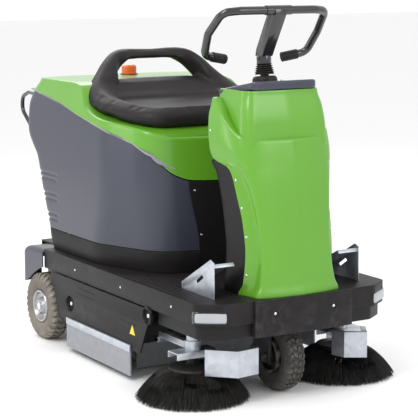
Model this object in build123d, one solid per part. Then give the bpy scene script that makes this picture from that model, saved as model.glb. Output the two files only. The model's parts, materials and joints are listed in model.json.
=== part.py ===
from build123d import *
import math
import os

os.makedirs("parts", exist_ok=True)

# Ride-on sweeper. Millimetres, +Z up. The machine drives towards -Y and +X is the driver's left.
# The origin is on the floor, under the middle of the machine's box.

# ---- overall sizes
overall_length = 1544      # bumper face to rear grab handles
deck_width = 770           # moulded running deck
deck_top = 360             # height of the deck's upper face
column_top = 1058          # dash height at the front edge
running_gap = 0.05         # radial clearance of a shaft in its hole
touch_gap = 0.3            # clearance between faces of different bodies
front_y = -overall_length / 2
rear_y = overall_length / 2
deck_half = deck_width / 2
column_line = front_y + 772   # line that the column's and controls' y values are measured from
body_line = rear_y - 772      # line that the upper body's and seat's y values are measured from

# ---- wheels
rear_wheel_d = 260
rear_wheel_w = 80
rear_wheel_x = deck_half - 23    # middle of the tyre from the centre line
rear_axle_y = rear_y - 294
rear_rim_d = 128
front_wheel_d = 250
front_wheel_w = 76
front_rim_d = 120
front_axle_y = front_y + 166
steer_rake = 5.67          # degrees, top of the steering axis leans to the rear
axle_d = 20

# ---- brushes
main_brush_d = 250
main_brush_l = deck_width - 170
rail_w = 40
rail_in = main_brush_l / 2 - 35
rail_out = rail_in + rail_w
main_brush_y = -10
main_shaft_d = 25
side_brush_d = 400
side_disc_d = 170
arm_x = rail_out - 3
side_brush_x = arm_x + 3
side_brush_y = front_axle_y + 63
side_disc_z = 100          # underside of the bristle disc
arm_pivot_y = side_brush_y + 213
arm_pivot_z = side_disc_z + 62

# ---- walls
skin = 4                   # moulded covers
sheet = 3                  # folded steel
tray_wall = 6

# ---- chassis rail heights
rail_top = deck_top - 8
rail_low = rail_top - 50


def from_line(line, points):
    """(y, z) points whose y is measured from a datum line."""
    return [(line + y, z) for y, z in points]


def block(x, y, z):
    size = (x[1] - x[0], y[1] - y[0], z[1] - z[0])
    middle = ((x[0] + x[1]) / 2, (y[0] + y[1]) / 2, (z[0] + z[1]) / 2)
    return Pos(*middle) * Box(*size)


def side_prism(outline, x):
    """A (y, z) outline stretched from x[0] to x[1]."""
    face = make_face(Polyline(*[(x[0], y, z) for y, z in outline], close=True))
    return extrude(face, amount=x[1] - x[0], dir=(1, 0, 0))


def plan_prism(outline, z, radius=0):
    """An (x, y) outline stretched from z[0] to z[1], with its corners rounded."""
    points = [(x, y, z[0]) for x, y in outline]
    if radius:
        edge = FilletPolyline(*points, radius=radius, close=True)
    else:
        edge = Polyline(*points, close=True)
    return extrude(make_face(edge), amount=z[1] - z[0], dir=(0, 0, 1))


def rod(start, end, radius):
    axis = Vector(*end) - Vector(*start)
    return Plane(origin=start, z_dir=axis) * Pos(0, 0, axis.length / 2) * Cylinder(radius, axis.length)


def pipe(start, end, outer, inner):
    return rod(start, end, outer) - rod(start, end, inner)


def cone(centre, z, low_r, high_r):
    spot = Pos(centre[0], centre[1], (z[0] + z[1]) / 2)
    return spot * Cone(low_r, high_r, z[1] - z[0])


def bent_tube(points, radii, radius):
    path = FilletPolyline(*points, radius=radii)
    mouth = Plane(origin=path @ 0, z_dir=path % 0) * Circle(radius)
    return sweep(mouth, path=path)


def flip(shape):
    return mirror(shape, about=Plane.YZ)


def both(shape):
    return [shape, flip(shape)]


def save(name, *shapes):
    solids = [solid for shape in shapes for solid in shape.solids()]
    body = solids[0] if len(solids) == 1 else Compound(children=solids)
    export_step(body, f"parts/{name}.step")


def save_pair(name, *shapes):
    """The driver's right-hand piece is modelled; the left-hand one is its mirror."""
    save(f"{name}_right", *shapes)
    save(f"{name}_left", *[flip(shape) for shape in shapes])


# ---- steering axis

rake = math.tan(math.radians(steer_rake))
front_axle_z = front_wheel_d / 2


def on_steer_axis(z):
    return (0, front_axle_y + (z - front_axle_z) * rake, z)


# ---- chassis

rail_front = front_y + 122
rail_rear = rear_y - 172
carrier_low = rear_wheel_d / 2 - 34
carrier_in = rail_out - 11
arm_bracket_z = arm_pivot_z - 14
tube_r = 30
tube_low = rail_low - 6
tube_high = column_top - 50


def make_chassis():
    rail = block((-rail_out, -rail_in), (rail_front, rail_rear), (rail_low, rail_top))
    inner_rail = block((-rail_out + sheet, -rail_in - sheet), (rail_front, rail_rear),
                       (rail_low + sheet, rail_top - sheet))
    rail = rail - inner_rail
    carrier = block((-rail_out, -carrier_in), (rear_axle_y - 38, rear_axle_y + 38),
                    (carrier_low, rail_low))
    arm_bracket = block((-rail_in - 12, -rail_in), (arm_pivot_y - 20, arm_pivot_y + 20),
                        (arm_bracket_z, rail_low))
    frame = rail + carrier + arm_bracket
    frame = frame + flip(frame)
    front_plate = block((-rail_in, rail_in), (on_steer_axis(rail_top)[1] - 60,
                        on_steer_axis(rail_top)[1] + 60), (rail_top - 12, rail_top))
    mid_beam = block((-rail_in, rail_in), (main_brush_y - 190, main_brush_y - 160), (rail_low, rail_top))
    rear_beam = block((-rail_in, rail_in), (rear_axle_y - 20, rear_axle_y + 20), (rail_low + 6, rail_top))
    frame = frame + front_plate + mid_beam + rear_beam
    frame = frame - rod(on_steer_axis(tube_low - 20), on_steer_axis(rail_top + 20), tube_r)
    return frame


steer_shaft_r = 15
bush_r = 24
bush_l = 40
steering_tube = pipe(on_steer_axis(tube_low), on_steer_axis(tube_high), tube_r, bush_r)
save("steering_tube", steering_tube,
     pipe(on_steer_axis(tube_low), on_steer_axis(tube_low + bush_l), bush_r, steer_shaft_r + running_gap),
     pipe(on_steer_axis(tube_high - bush_l), on_steer_axis(tube_high), bush_r, steer_shaft_r + running_gap))

# ---- deck

deck_front = front_y + 12
deck_rear = rear_axle_y - 20
strip_low = deck_top - 75
band_low = deck_top - 123
band_inset = 14
deck_corner_r = 34
ledge_t = 5
lamp_in = (deck_half - 85, deck_front + 8)
lamp_out = (deck_half, deck_front + 66)
lamp_z = deck_top - 47


def deck_outline(inset):
    half = [(deck_half - inset, deck_rear), (lamp_out[0] - inset, lamp_out[1] + inset * 0.6),
            (lamp_in[0] - inset * 0.4, lamp_in[1] + inset)]
    nose = [(0, deck_front + inset)]
    return half + nose + [(-x, y) for x, y in reversed(half)]


def deck_form(inset, z):
    radii = [0, deck_corner_r, deck_corner_r, 0, deck_corner_r, deck_corner_r, 0]
    points = [(x, y, z[0]) for x, y in deck_outline(inset)]
    face = make_face(FilletPolyline(*points, radius=radii, close=True))
    return extrude(face, amount=z[1] - z[0], dir=(0, 0, 1))


lamp_angle = math.degrees(math.atan2(lamp_out[1] - lamp_in[1], lamp_out[0] - lamp_in[0]))
lamp_mid = ((lamp_in[0] + lamp_out[0]) / 2, (lamp_in[1] + lamp_out[1]) / 2, lamp_z)
lamp_size = (58, 12, 26)
fender_rear = rear_y - 116
hopper_z = (72, 286)


def make_deck():
    band_rear = side_brush_y + 120
    tray = deck_form(0, (strip_low, deck_top)) - deck_form(tray_wall, (strip_low - 1, rail_top))
    band = deck_form(band_inset, (band_low, strip_low)) - deck_form(band_inset + tray_wall,
                                                                    (band_low - 1, strip_low + 1))
    band = band & block((-deck_half, deck_half), (front_y, band_rear), (band_low, strip_low))
    ledge_hole = deck_form(band_inset + tray_wall, (strip_low - 1, strip_low + ledge_t + 1))
    ledge = deck_form(1, (strip_low, strip_low + ledge_t)) - ledge_hole
    ledge = ledge & block((-deck_half, deck_half), (front_y, band_rear), (strip_low, strip_low + ledge_t))
    shelf = block((-rail_out, rail_out), (deck_rear - 1, fender_rear - 4), (rail_top, deck_top))
    apron = block((-rail_out, rail_out), (fender_rear - 10, fender_rear - 4), (hopper_z[1] + 4, deck_top))
    deck = tray + ledge + band + shelf + apron
    deck = deck - rod(on_steer_axis(rail_low), on_steer_axis(deck_top + 30), tube_r)
    for side in (-1, 1):
        pocket = Pos(side * lamp_mid[0], lamp_mid[1], lamp_mid[2]) * Rot(0, 0, side * lamp_angle)
        deck = deck - pocket * Box(lamp_size[0], lamp_size[1], lamp_size[2])
    return deck


save("deck_tray", make_deck())

lamps = []
for side in (-1, 1):
    seat = Pos(side * lamp_mid[0], lamp_mid[1], lamp_mid[2]) * Rot(0, 0, side * lamp_angle)
    lamps.append(seat * fillet(Box(*lamp_size).edges().filter_by(Axis.Y), 5))
save("corner_lamps", *lamps)

bumper_half = 196
bumper_bow = 7
bumper_depth = 26
bumper_top = deck_top
bumper_low = band_low


def make_bumper():
    corner_y = front_y + bumper_bow
    back_y = front_y + bumper_depth
    arc = ThreePointArc((-bumper_half, corner_y, 0), (0, front_y, 0), (bumper_half, corner_y, 0))
    back = Polyline((bumper_half, corner_y, 0), (bumper_half, back_y, 0),
                    (-bumper_half, back_y, 0), (-bumper_half, corner_y, 0))
    plate = Pos(0, 0, bumper_low) * extrude(make_face([arc] + back.edges()), amount=bumper_top - bumper_low)
    plate = plate - deck_form(0, (strip_low, deck_top)) - deck_form(band_inset, (band_low, strip_low))
    return plate & block((-bumper_half, bumper_half), (front_y, deck_front + 30), (bumper_low, bumper_top))


bumper_screw_x = 118
bumper_screw_z = deck_top - 48
bumper = make_bumper()
screw_depth = 6
screw_mouth_y = front_y + 2.6
screw_well_r = 9
screw_r = 7
bumper_screws = []
for side in (-1, 1):
    seat = (side * bumper_screw_x, screw_mouth_y + screw_depth, bumper_screw_z)
    bumper = bumper - rod((seat[0], front_y - 2, seat[2]), seat, screw_well_r)
    bumper_screws.append(rod((seat[0], screw_mouth_y + 1, seat[2]), seat, screw_r))
save("front_bumper", bumper)

# ---- lower sides

panel_x = deck_half - 1
panel_t = 6
panel_low = 112
wheel_arch_r = rear_wheel_d / 2 + 12
panel_outline = [(rear_axle_y - 87, strip_low), (rear_axle_y - 87, panel_low),
                 (side_brush_y + 160, panel_low), (side_brush_y + 131, strip_low - 30),
                 (side_brush_y + 131, strip_low)]
knob_spots = [(226, 186), (-375, 258)]
knob_r = 13
knob_l = 9
knob_stem_r = 5
lip_w = 14


def make_side_panel():
    panel = side_prism(panel_outline, (-panel_x - panel_t, -panel_x))
    axle = (rear_axle_y, rear_wheel_d / 2)
    panel = panel - rod((-panel_x - panel_t - 3, *axle), (-panel_x + 9, *axle), wheel_arch_r)
    lip = block((-panel_x, -panel_x + lip_w), (side_brush_y + 160, rear_axle_y - 170),
                (panel_low, panel_low + panel_t))
    panel = panel + lip
    for y, z in knob_spots:
        panel = panel - rod((-panel_x - panel_t - 3, y, z), (-panel_x + 1, y, z), knob_stem_r)
    return panel


save("side_panels", *both(make_side_panel()))

knobs = []
for y, z in knob_spots:
    knob = rod((-panel_x - panel_t - knob_l, y, z), (-panel_x - panel_t, y, z), knob_r)
    knobs += both(knob + rod((-panel_x - panel_t, y, z), (-panel_x + 4, y, z), knob_stem_r))

skirt_front = main_brush_y - 254
skirt_rear = main_brush_y + 253
rail_z = (106, 132)
skirt_rail = block((-panel_x - panel_t - 9, -panel_x - panel_t), (skirt_front, skirt_rear), rail_z)
save("skirt_rails", *both(skirt_rail))
skirt_low = 20
side_skirt = block((-panel_x - panel_t - 6, -panel_x - panel_t - 1), (skirt_front, skirt_rear),
                   (skirt_low, rail_z[0]))
tunnel_r = main_brush_d / 2 + 13
tunnel_half = main_brush_l / 2 + 10
front_flap = block((-tunnel_half, tunnel_half), (main_brush_y - tunnel_r - sheet - 5,
                   main_brush_y - tunnel_r - sheet), (12, 100))
save("dust_skirts", *both(side_skirt), front_flap)

fender_outline = [(deck_rear + 1, deck_top - 1), (deck_rear + 60, deck_top - 12),
                  (fender_rear, deck_top - 58), (fender_rear, deck_top - 156),
                  (fender_rear - 60, deck_top - 136), (fender_rear - 116, deck_top - 98),
                  (deck_rear + 30, strip_low), (deck_rear + 1, strip_low + 3)]
fender_x = deck_half + 7


fender_corner_r = 60
fender_zone_z = (100, 400)


def fender_plan(x, y, radius):
    """The fender's plan from x[0], outside, to x[1], with its outer rear corner rounded."""
    plan = plan_prism([(x[0], y[0]), (x[1], y[0]), (x[1], y[1]), (x[0], y[1])], fender_zone_z)
    upright = plan.edges().filter_by(Axis.Z)
    outer_rear = upright.sort_by(lambda e: e.center().X - 0.1 * e.center().Y)[:1]
    return fillet(outer_rear, radius)


def make_fender():
    shell = side_prism(fender_outline, (-fender_x, -rail_out))
    corner = fender_plan((-fender_x, -rail_out), (deck_rear, fender_rear), fender_corner_r)
    inner_outline = [(y - skin if y > rear_axle_y else y - 2, z - skin) for y, z in fender_outline[:3]]
    inner_outline += [(fender_rear - skin, 150), (deck_rear - 1, 150)]
    hollow = side_prism(inner_outline, (-fender_x + skin, -rail_out - skin))
    inner_corner = fender_plan((-fender_x + skin, -rail_out - skin), (deck_rear - 5, fender_rear - skin),
                               fender_corner_r - skin)
    return (shell & corner) - (hollow & inner_corner)


save("rear_fenders", *both(make_fender()))

# ---- upper body form

plinth_top = 440
hood_top = 1016
body_reach = 400           # a zone this far each way from the body line holds the whole body's width
seam = from_line(body_line, [(640, 970), (358, 934), (0, 868), (-144, 830), (-220, 791), (-245, 745),
                             (-295, 690)])
body_rear = from_line(body_line, [(-400, deck_top - 1), (478, deck_top - 1), (500, plinth_top), (580, 712),
                                  (600, 724), (662, 796), (666, 832), (656, 900), (640, 968), (606, 1002),
                                  (578, 1014), (290, hood_top)])
seat_step = from_line(body_line, [(236, 1010), (150, 934), (60, 907), (-136, 885), (-200, 872), (-240, 850),
                                  (-400, 790)])
tail_y = body_line + 470   # the shell's wall is set in from the rear behind this line
roof_z = 780               # and set down from the top above this height
# height, inset from the deck's edge, where the side turns in, front corner inset and y, nose y
body_levels = [(deck_top, 35, 80, 145, -225, -262),
               (plinth_top, 31, 60, 135, -225, -268),
               (700, 21, -10, 93, -228, -284),
               (900, 23, -10, 97, -232, -286),
               (1020, 57, -10, 105, -240, -280)]
body_corner_radii = [0, 160, 70, 300, 70, 160, 0]


def body_ring(level, inset):
    z, side_in, side_y, corner_in, corner_y, nose_y = level
    half = deck_half - side_in
    right = [(half - inset, 720), (half - inset, side_y),
             (deck_half - corner_in - inset * 0.8, corner_y + inset * 0.6)]
    points = right + [(0, nose_y + inset)] + [(-x, y) for x, y in reversed(right)]
    ring = [(x, body_line + y, z) for x, y in points]
    return make_face(FilletPolyline(*ring, radius=body_corner_radii, close=True))


def body_form(inset):
    form = loft([body_ring(level, inset) for level in body_levels], ruled=True)
    outline = body_rear + seat_step
    outline = [(y - inset, z) if y > tail_y else (y, z) for y, z in outline]
    outline = [(y, z - inset) if z > roof_z else (y, z) for y, z in outline]
    limit = side_prism(outline, (-body_reach, body_reach))
    return form & limit


body_outer = body_form(0)
body_inner = body_form(skin)
body_shell = body_outer - body_inner
seal_t = 5
body_zone_y = (body_line - 420, body_line + 760)
body_zone_top = 1100


def below_seam(drop):
    ahead, behind = body_zone_y
    floor = [(ahead, 0), (behind, 0), (behind, seam[0][1] + 35 - drop)]
    outline = floor + [(y, z - drop) for y, z in seam] + [(ahead, 560 - drop)]
    return side_prism(outline, (-body_reach - 20, body_reach + 20))


under = below_seam(seal_t)
front_half_top = 150
front_half_low = 104
front_panel_top = 700
front_edge = [(-front_half_top, front_panel_top), (front_half_top, front_panel_top),
              (front_half_low, plinth_top), (front_half_low, deck_top),
              (-front_half_low, deck_top), (-front_half_low, plinth_top)]
front_face = make_face(Polyline(*[(x, body_zone_y[0], z) for x, z in front_edge], close=True))
front_cut = extrude(front_face, amount=320, dir=(0, 1, 0))
rear_door_half = 262
rear_zone_y = (body_line + 440, body_zone_y[1])
rear_cut = block((-rear_door_half, rear_door_half), rear_zone_y, (deck_top, body_zone_top))
lower_shell = body_shell & under
plinth_zone = block((-body_reach, body_reach), body_zone_y, (deck_top, plinth_top))
above_plinth = block((-body_reach, 0), body_zone_y, (plinth_top, body_zone_top))

front_panel = lower_shell & front_cut
save("front_panel", front_panel)
body_plinth = (lower_shell & plinth_zone) - front_cut
save("body_plinth", body_plinth)
body_side = ((lower_shell & above_plinth) - front_cut) - rear_cut
save("body_sides", *both(body_side))
door_zone = block((-body_reach, body_reach), rear_zone_y, (plinth_top, body_zone_top))
rear_panel = (lower_shell & rear_cut) & door_zone
slot_count, slot_low, slot_pitch, slot_h, slot_half = 6, 560, 20, 8, 120
for row in range(slot_count):
    height = slot_low + row * slot_pitch
    rear_panel = rear_panel - block((-slot_half, slot_half), rear_zone_y, (height, height + slot_h))
save("rear_panel", rear_panel)

hood = body_shell - below_seam(0)
save("hood", hood)
seal_band = (body_outer - body_form(skin * 2)) & (below_seam(0) - below_seam(seal_t - touch_gap))
save("hood_seal", seal_band)

handle_r = 8
handle_x = deck_half - 59
handle_bend = 38
handle_side = [(rear_y - 140, 945), (rear_y - 72, 948), (rear_y - handle_r, 926), (rear_y - handle_r, 872),
               (rear_y - 108, 800)]
handle_path = [(-handle_x, y, z) for y, z in handle_side]
body_solid_under = body_outer & under
grab = bent_tube(handle_path, [handle_bend] * 3, handle_r) - body_solid_under - hood - seal_band
grab = grab.solids().sort_by(SortBy.VOLUME)[-1]
save("grab_handles", *both(grab))

# screws through the front panel's edges and the deck strip
screw_head_r = 5
head_t = 2.5
cover_screws = []
for x, z in [(front_half_low + 24, 660), (front_half_low - 6, 497)]:
    for side in (-1, 1):
        probe = rod((side * x, body_line - 320, z), (side * x, body_line - 240, z), screw_head_r) - body_inner
        face_y = (probe & body_outer).bounding_box().min.Y
        head = rod((side * x, face_y - head_t, z), (side * x, face_y + 0.4, z), screw_head_r)
        cover_screws.append(head - body_outer)
strip_screw_z = deck_top - 38
strip_screws = []
for y in (187, -175, -537):
    head = rod((-deck_half - 2, y, strip_screw_z), (-deck_half, y, strip_screw_z), screw_head_r)
    strip_screws += both(head)
save("cover_fasteners", *knobs, *bumper_screws, *cover_screws, *strip_screws)

# ---- column

# height, half width, front y, rear y
column_levels = [(deck_top, 188, -756, -520), (400, 182, -744, -524), (500, 176, -734, -520),
                 (600, 178, -722, -508), (700, 184, -710, -492), (760, 192, -702, -478),
                 (820, 208, -692, -456), (880, 204, -680, -446), (925, 170, -664, -442),
                 (980, 160, -652, -440), (column_top, 132, -630, -436)]
column_radii = [30, 62, 62, 30]
column_reach = 300         # a zone this far each side holds the whole column


def column_ring(level, inset):
    z, half, nose_y, back_y = level
    points = [(half - inset, back_y - inset), (half - inset, nose_y + inset),
              (-half + inset, nose_y + inset), (-half + inset, back_y - inset)]
    ring = [(x, column_line + y, z) for x, y in points]
    return make_face(FilletPolyline(*ring, radius=column_radii, close=True))


def column_form(inset):
    return loft([column_ring(level, inset) for level in column_levels], ruled=True)


cap_front_low = column_top - 22
cap_rear_low = column_top - 62
cap_slab = from_line(column_line, [(-660, cap_front_low), (-400, cap_rear_low - 8), (-400, 1200),
                                   (-660, 1200)])
column_outer = column_form(0)
column_inner = column_form(skin)
column_shell = (column_outer - column_inner) - side_prism(cap_slab, (-column_reach, column_reach))
split = [(-420, 1100), (-468, 1030), (-490, 850), (-510, 806), (-596, 786), (-627, 690), (-656, 600),
         (-670, 500), (-664, 400), (-640, deck_top - 1)]
front_zone = side_prism(from_line(column_line, split + [(-800, deck_top - 1), (-800, 1100)]),
                        (-column_reach, column_reach))
save("column_cowl", column_shell & front_zone)
save("column_back", column_shell - front_zone)

boss_r = 44
boss_top = column_top + 22
boss_wall = 4
cap_wall = 5
cap_outline = [(x, column_line + y) for x, y in [(-124, -640), (124, -640), (152, -446), (-152, -446)]]


def make_cap():
    zone_z = (cap_rear_low - 40, column_top + 60)
    x_all = (-column_reach, column_reach)
    form = [(-660, cap_front_low), (-400, cap_rear_low - 8), (-400, cap_rear_low + 18),
            (-660, column_top + 4)]
    lid = plan_prism(cap_outline, zone_z, 22) & side_prism(from_line(column_line, form), x_all)
    hollow = plan_prism([(x * 0.96, y + (cap_wall if y < column_line - 600 else -cap_wall))
                         for x, y in cap_outline], zone_z, 18)
    inside = [(-660, 900), (-400, 900), (-400, cap_rear_low + 14), (-660, column_top)]
    lid = lid - (hollow & side_prism(from_line(column_line, inside), x_all))
    boss = rod(on_steer_axis(column_top - 30), on_steer_axis(boss_top), boss_r)
    lid = lid + (boss - rod(on_steer_axis(column_top - 32), on_steer_axis(boss_top - boss_wall),
                            boss_r - boss_wall))
    lid = lid - rod(on_steer_axis(900), on_steer_axis(tube_high + 1), tube_r + touch_gap)
    lid = lid - rod(on_steer_axis(900), on_steer_axis(1200), steer_shaft_r + 5)
    return lid


dash_cap = make_cap()
control_y = column_line - 478
key_spot = (96, control_y)
button_spot = (-96, control_y)
key_r = 5
lock_r = 13
button_r = 9
switch_r = 15
dash_z = column_top - 24
lock_l = 26
switch_l = 30
socket_floor = 4
dash_cap = dash_cap - rod((*key_spot, 960), (*key_spot, 1100), lock_r)
dash_cap = dash_cap - rod((*button_spot, 960), (*button_spot, 1100), switch_r)
key_lock = pipe((*key_spot, dash_z - lock_l), (*key_spot, dash_z), lock_r, key_r + running_gap)
key_lock = key_lock + rod((*key_spot, dash_z - lock_l - socket_floor), (*key_spot, dash_z - lock_l), lock_r)
key_barrel = rod((*key_spot, dash_z - lock_l + 1), (*key_spot, dash_z + 2), key_r)
key_bow = block((key_spot[0] - 2, key_spot[0] + 2), (key_spot[1] - 12, key_spot[1] + 12),
                (dash_z + 2, dash_z + 24))
save("ignition_key", key_barrel + key_bow)
horn_body = pipe((*button_spot, dash_z - switch_l), (*button_spot, dash_z), switch_r, button_r + running_gap)
horn_body = horn_body + rod((*button_spot, dash_z - switch_l - socket_floor),
                            (*button_spot, dash_z - switch_l), switch_r)
save("dash_cap", dash_cap, key_lock, horn_body)
save("horn_button", rod((*button_spot, dash_z - 24), (*button_spot, dash_z + 6), button_r))

# ---- steering body

fork_half = front_wheel_w / 2 + 6
fork_t = 10
fork_top = front_wheel_d + 12
crown_t = 14
crown_half = 42
foot_half = 24


def make_fork():
    top_y = on_steer_axis(fork_top)[1]
    crown = block((-fork_half - fork_t, fork_half + fork_t), (top_y - crown_half, top_y + crown_half),
                  (fork_top, fork_top + crown_t))
    leg_outline = [(front_axle_y - foot_half, front_axle_z - foot_half),
                   (front_axle_y + foot_half, front_axle_z - foot_half),
                   (top_y + crown_half, fork_top), (top_y - crown_half, fork_top)]
    leg = side_prism(leg_outline, (-fork_half - fork_t, -fork_half))
    axle_hole = rod((-80, front_axle_y, front_axle_z), (80, front_axle_y, front_axle_z),
                    axle_d / 2 + running_gap)
    return crown + leg + flip(leg) - axle_hole


axle_half = fork_half + fork_t + 8
front_axle = rod((-axle_half, front_axle_y, front_axle_z), (axle_half, front_axle_y, front_axle_z),
                 axle_d / 2)
shaft_foot = on_steer_axis(fork_top + crown_t)
shaft_top_z = boss_top + 62
steering_shaft = rod(shaft_foot, on_steer_axis(shaft_top_z), steer_shaft_r)
steering_shaft = steering_shaft - block((-60, 60), (shaft_foot[1] - 100, shaft_foot[1] + 100),
                                        (fork_top, fork_top + crown_t))
save("wheel_fork", make_fork(), steering_shaft, front_axle)

boot_low = boss_top + 2
fold_count = 4
fold_h = 8.5
boot_r = 33
boot_high = boot_low + fold_count * fold_h


def make_boot():
    boot = None
    for fold in range(fold_count):
        low = on_steer_axis(boot_low + fold * fold_h)
        high = on_steer_axis(boot_low + fold * fold_h + fold_h)
        radius = boot_r - fold * 2
        piece = pipe(low, high, radius, steer_shaft_r + 6)
        boot = piece if boot is None else boot + piece
    return boot


save("column_boot", make_boot())
collar_l = 28
collar_r = 25
collar = pipe(on_steer_axis(boot_high), on_steer_axis(boot_high + collar_l), collar_r, steer_shaft_r)

bar_z = 1301
bar_y = column_line - 591
bar_r = 14
sleeve_r = 16.5
sleeve_half = 50
post_foot = on_steer_axis(boot_high + collar_l)
post_half = 21


def make_post():
    foot_y, foot_z = post_foot[1], post_foot[2]
    outline = [(foot_y - 22, foot_z), (foot_y + 20, foot_z), (foot_y + 16, foot_z + 22),
               (bar_y + 24, bar_z + 4), (bar_y + 6, bar_z + 16), (bar_y - 18, bar_z + 4),
               (bar_y - 20, bar_z - 14)]
    post = side_prism(outline, (-post_half, post_half))
    post = post - rod((-post_half - 9, bar_y, bar_z), (post_half + 9, bar_y, bar_z), sleeve_r)
    post = post - rod(on_steer_axis(boot_high), on_steer_axis(boot_high + collar_l), collar_r)
    return post - rod(on_steer_axis(boot_high), on_steer_axis(shaft_top_z), steer_shaft_r)


save("bar_post", make_post(), collar)

bar_right = [(-121, bar_y + 150, 1134), (-207, bar_y + 135, 1149), (-221, bar_y + 86, 1223),
             (-206, bar_y + 19, 1296), (-150, bar_y, bar_z)]
bar_points = bar_right + [(-x, y, z) for x, y, z in reversed(bar_right)]
bar_radii = [38, 60, 40, 60]
bar_sleeve = pipe((-sleeve_half, bar_y, bar_z), (sleeve_half, bar_y, bar_z), sleeve_r, bar_r)
save("handlebar", bent_tube(bar_points, bar_radii + bar_radii[::-1], bar_r), bar_sleeve)
grip_r = 17
grip_start = Vector(*bar_right[0])
grip_end = grip_start + (Vector(*bar_right[1]) - grip_start) * 0.60
grip = pipe(tuple(grip_start), tuple(grip_end), grip_r, bar_r)
grip_cap = rod(tuple(grip_start - (grip_end - grip_start).normalized() * 4), tuple(grip_start), grip_r)
save("bar_grips", *both(grip + grip_cap))

# ---- wheels


def wheel_ring(x_mid, y, diameter, width, inner_d, shoulder):
    ring = pipe((x_mid - width / 2, y, diameter / 2), (x_mid + width / 2, y, diameter / 2),
                diameter / 2, inner_d / 2)
    rim_edges = [e for e in ring.edges().filter_by(GeomType.CIRCLE) if e.radius > diameter / 2 - 1]
    return fillet(rim_edges, shoulder)


def make_rim(x_mid, y, wheel_d, rim_d, width):
    z = wheel_d / 2
    rim = rod((x_mid - width / 2, y, z), (x_mid + width / 2, y, z), rim_d / 2)
    for side in (-1, 1):
        face = x_mid + side * width / 2
        dish = pipe((face - side * 16, y, z), (face + side * 5, y, z), rim_d / 2 - 8, 24)
        rim = rim - dish
    return rim - rod((x_mid - width, y, z), (x_mid + width, y, z), axle_d / 2 + running_gap)


save("front_tyre", wheel_ring(0, front_axle_y, front_wheel_d, front_wheel_w, front_rim_d, 16))
save("front_hub", make_rim(0, front_axle_y, front_wheel_d, front_rim_d, fork_half * 2 - 1))

rear_tyre = wheel_ring(-rear_wheel_x, rear_axle_y, rear_wheel_d, rear_wheel_w, rear_rim_d, 12)
rear_rim = make_rim(-rear_wheel_x, rear_axle_y, rear_wheel_d, rear_rim_d, rear_wheel_w - 8)
save_pair("rear_tyre", rear_tyre)
save_pair("rear_rim", rear_rim)
stub_z = rear_wheel_d / 2
stub_out = rear_wheel_x + rear_wheel_w / 2 - 4
stub = rod((-stub_out - 4, rear_axle_y, stub_z), (-rail_out, rear_axle_y, stub_z), axle_d / 2)
spacer = pipe((-rear_wheel_x + rear_wheel_w / 2 - 4 + touch_gap, rear_axle_y, stub_z),
              (-rail_out, rear_axle_y, stub_z), 16, axle_d / 2)
stub = stub + spacer
nut = pipe((-stub_out - 4, rear_axle_y, stub_z), (-stub_out - touch_gap, rear_axle_y, stub_z), 15, axle_d / 2)
save("rear_axles", *both(stub), *both(nut))

# ---- main brush and its drive

main_brush_z = main_brush_d / 2
shaft_half = tunnel_half + 8


def make_tunnel():
    centre = (main_brush_y, main_brush_z)
    x_all = (-tunnel_half - 4, tunnel_half + 4)
    outer_r = tunnel_r + sheet

    def chamber(radius, x):
        barrel = rod((x[0], *centre), (x[1], *centre), radius)
        skirt = block(x, (main_brush_y - radius, main_brush_y + radius), (45, main_brush_z))
        return barrel & block(x, (-400, 400), (main_brush_z, 400)), skirt

    roof, skirt = chamber(outer_r, x_all)
    housing = roof + skirt
    roof_in, skirt_in = chamber(tunnel_r, (-tunnel_half, tunnel_half))
    mouth_y = (main_brush_y - 130, main_brush_y + 130)
    housing = housing - roof_in - skirt_in - block((-tunnel_half, tunnel_half), mouth_y, (40, 60))
    housing = housing - block((-tunnel_half + 20, tunnel_half - 20), (main_brush_y + 60, main_brush_y + 200),
                              (40, 190))
    lug = block((-rail_out + 5, -rail_in - 5), (main_brush_y - 20, main_brush_y + 20),
                (main_brush_z + tunnel_r - 10, rail_low))
    lug = lug - rod((-400, *centre), (400, *centre), tunnel_r + 1)
    housing = housing + lug + flip(lug)
    return housing - rod((-400, *centre), (400, *centre), main_shaft_d / 2 + running_gap)


save("brush_tunnel", make_tunnel())
bristle_core_r = 55
main_brush_core = (
     rod((-main_brush_l / 2, main_brush_y, main_brush_z), (main_brush_l / 2, main_brush_y, main_brush_z),
         bristle_core_r)
     + rod((-shaft_half - 16, main_brush_y, main_brush_z), (shaft_half, main_brush_y, main_brush_z),
           main_shaft_d / 2))
save("main_brush_bristles",
     pipe((-main_brush_l / 2, main_brush_y, main_brush_z), (main_brush_l / 2, main_brush_y, main_brush_z),
          main_brush_d / 2, bristle_core_r))

pulley_x = (-tunnel_half - 24, -tunnel_half - 8)
brush_pulley_r = 45
motor_pulley_r = 30
motor_y = main_brush_y + 222
motor_z = rail_low - 38
motor_r = 34
motor_shaft_r = 7
brush_pulley = pipe((pulley_x[0], main_brush_y, main_brush_z), (pulley_x[1], main_brush_y, main_brush_z),
                    brush_pulley_r, main_shaft_d / 2)
save("main_brush_core", main_brush_core, brush_pulley)
motor_face = -rail_in + 65
save("brush_motor",
     pipe((motor_face, motor_y, motor_z), (-20, motor_y, motor_z), motor_r, motor_shaft_r + running_gap)
     + block((-180, -40), (motor_y - 20, motor_y + 20), (motor_z + motor_r - 4, rail_top))
     - rod((motor_face - 1, motor_y, motor_z), (-10, motor_y, motor_z), motor_shaft_r + running_gap))
save("motor_pulley",
     rod((pulley_x[0], motor_y, motor_z), (pulley_x[1], motor_y, motor_z), motor_pulley_r)
     + rod((pulley_x[1], motor_y, motor_z), (-60, motor_y, motor_z), motor_shaft_r))

belt_t = 5


def belt_loop(grow):
    first = Pos(main_brush_y, main_brush_z) * Circle(brush_pulley_r + touch_gap + grow)
    second = Pos(motor_y, motor_z) * Circle(motor_pulley_r + touch_gap + grow)
    return make_hull(first.edges() + second.edges())


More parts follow.
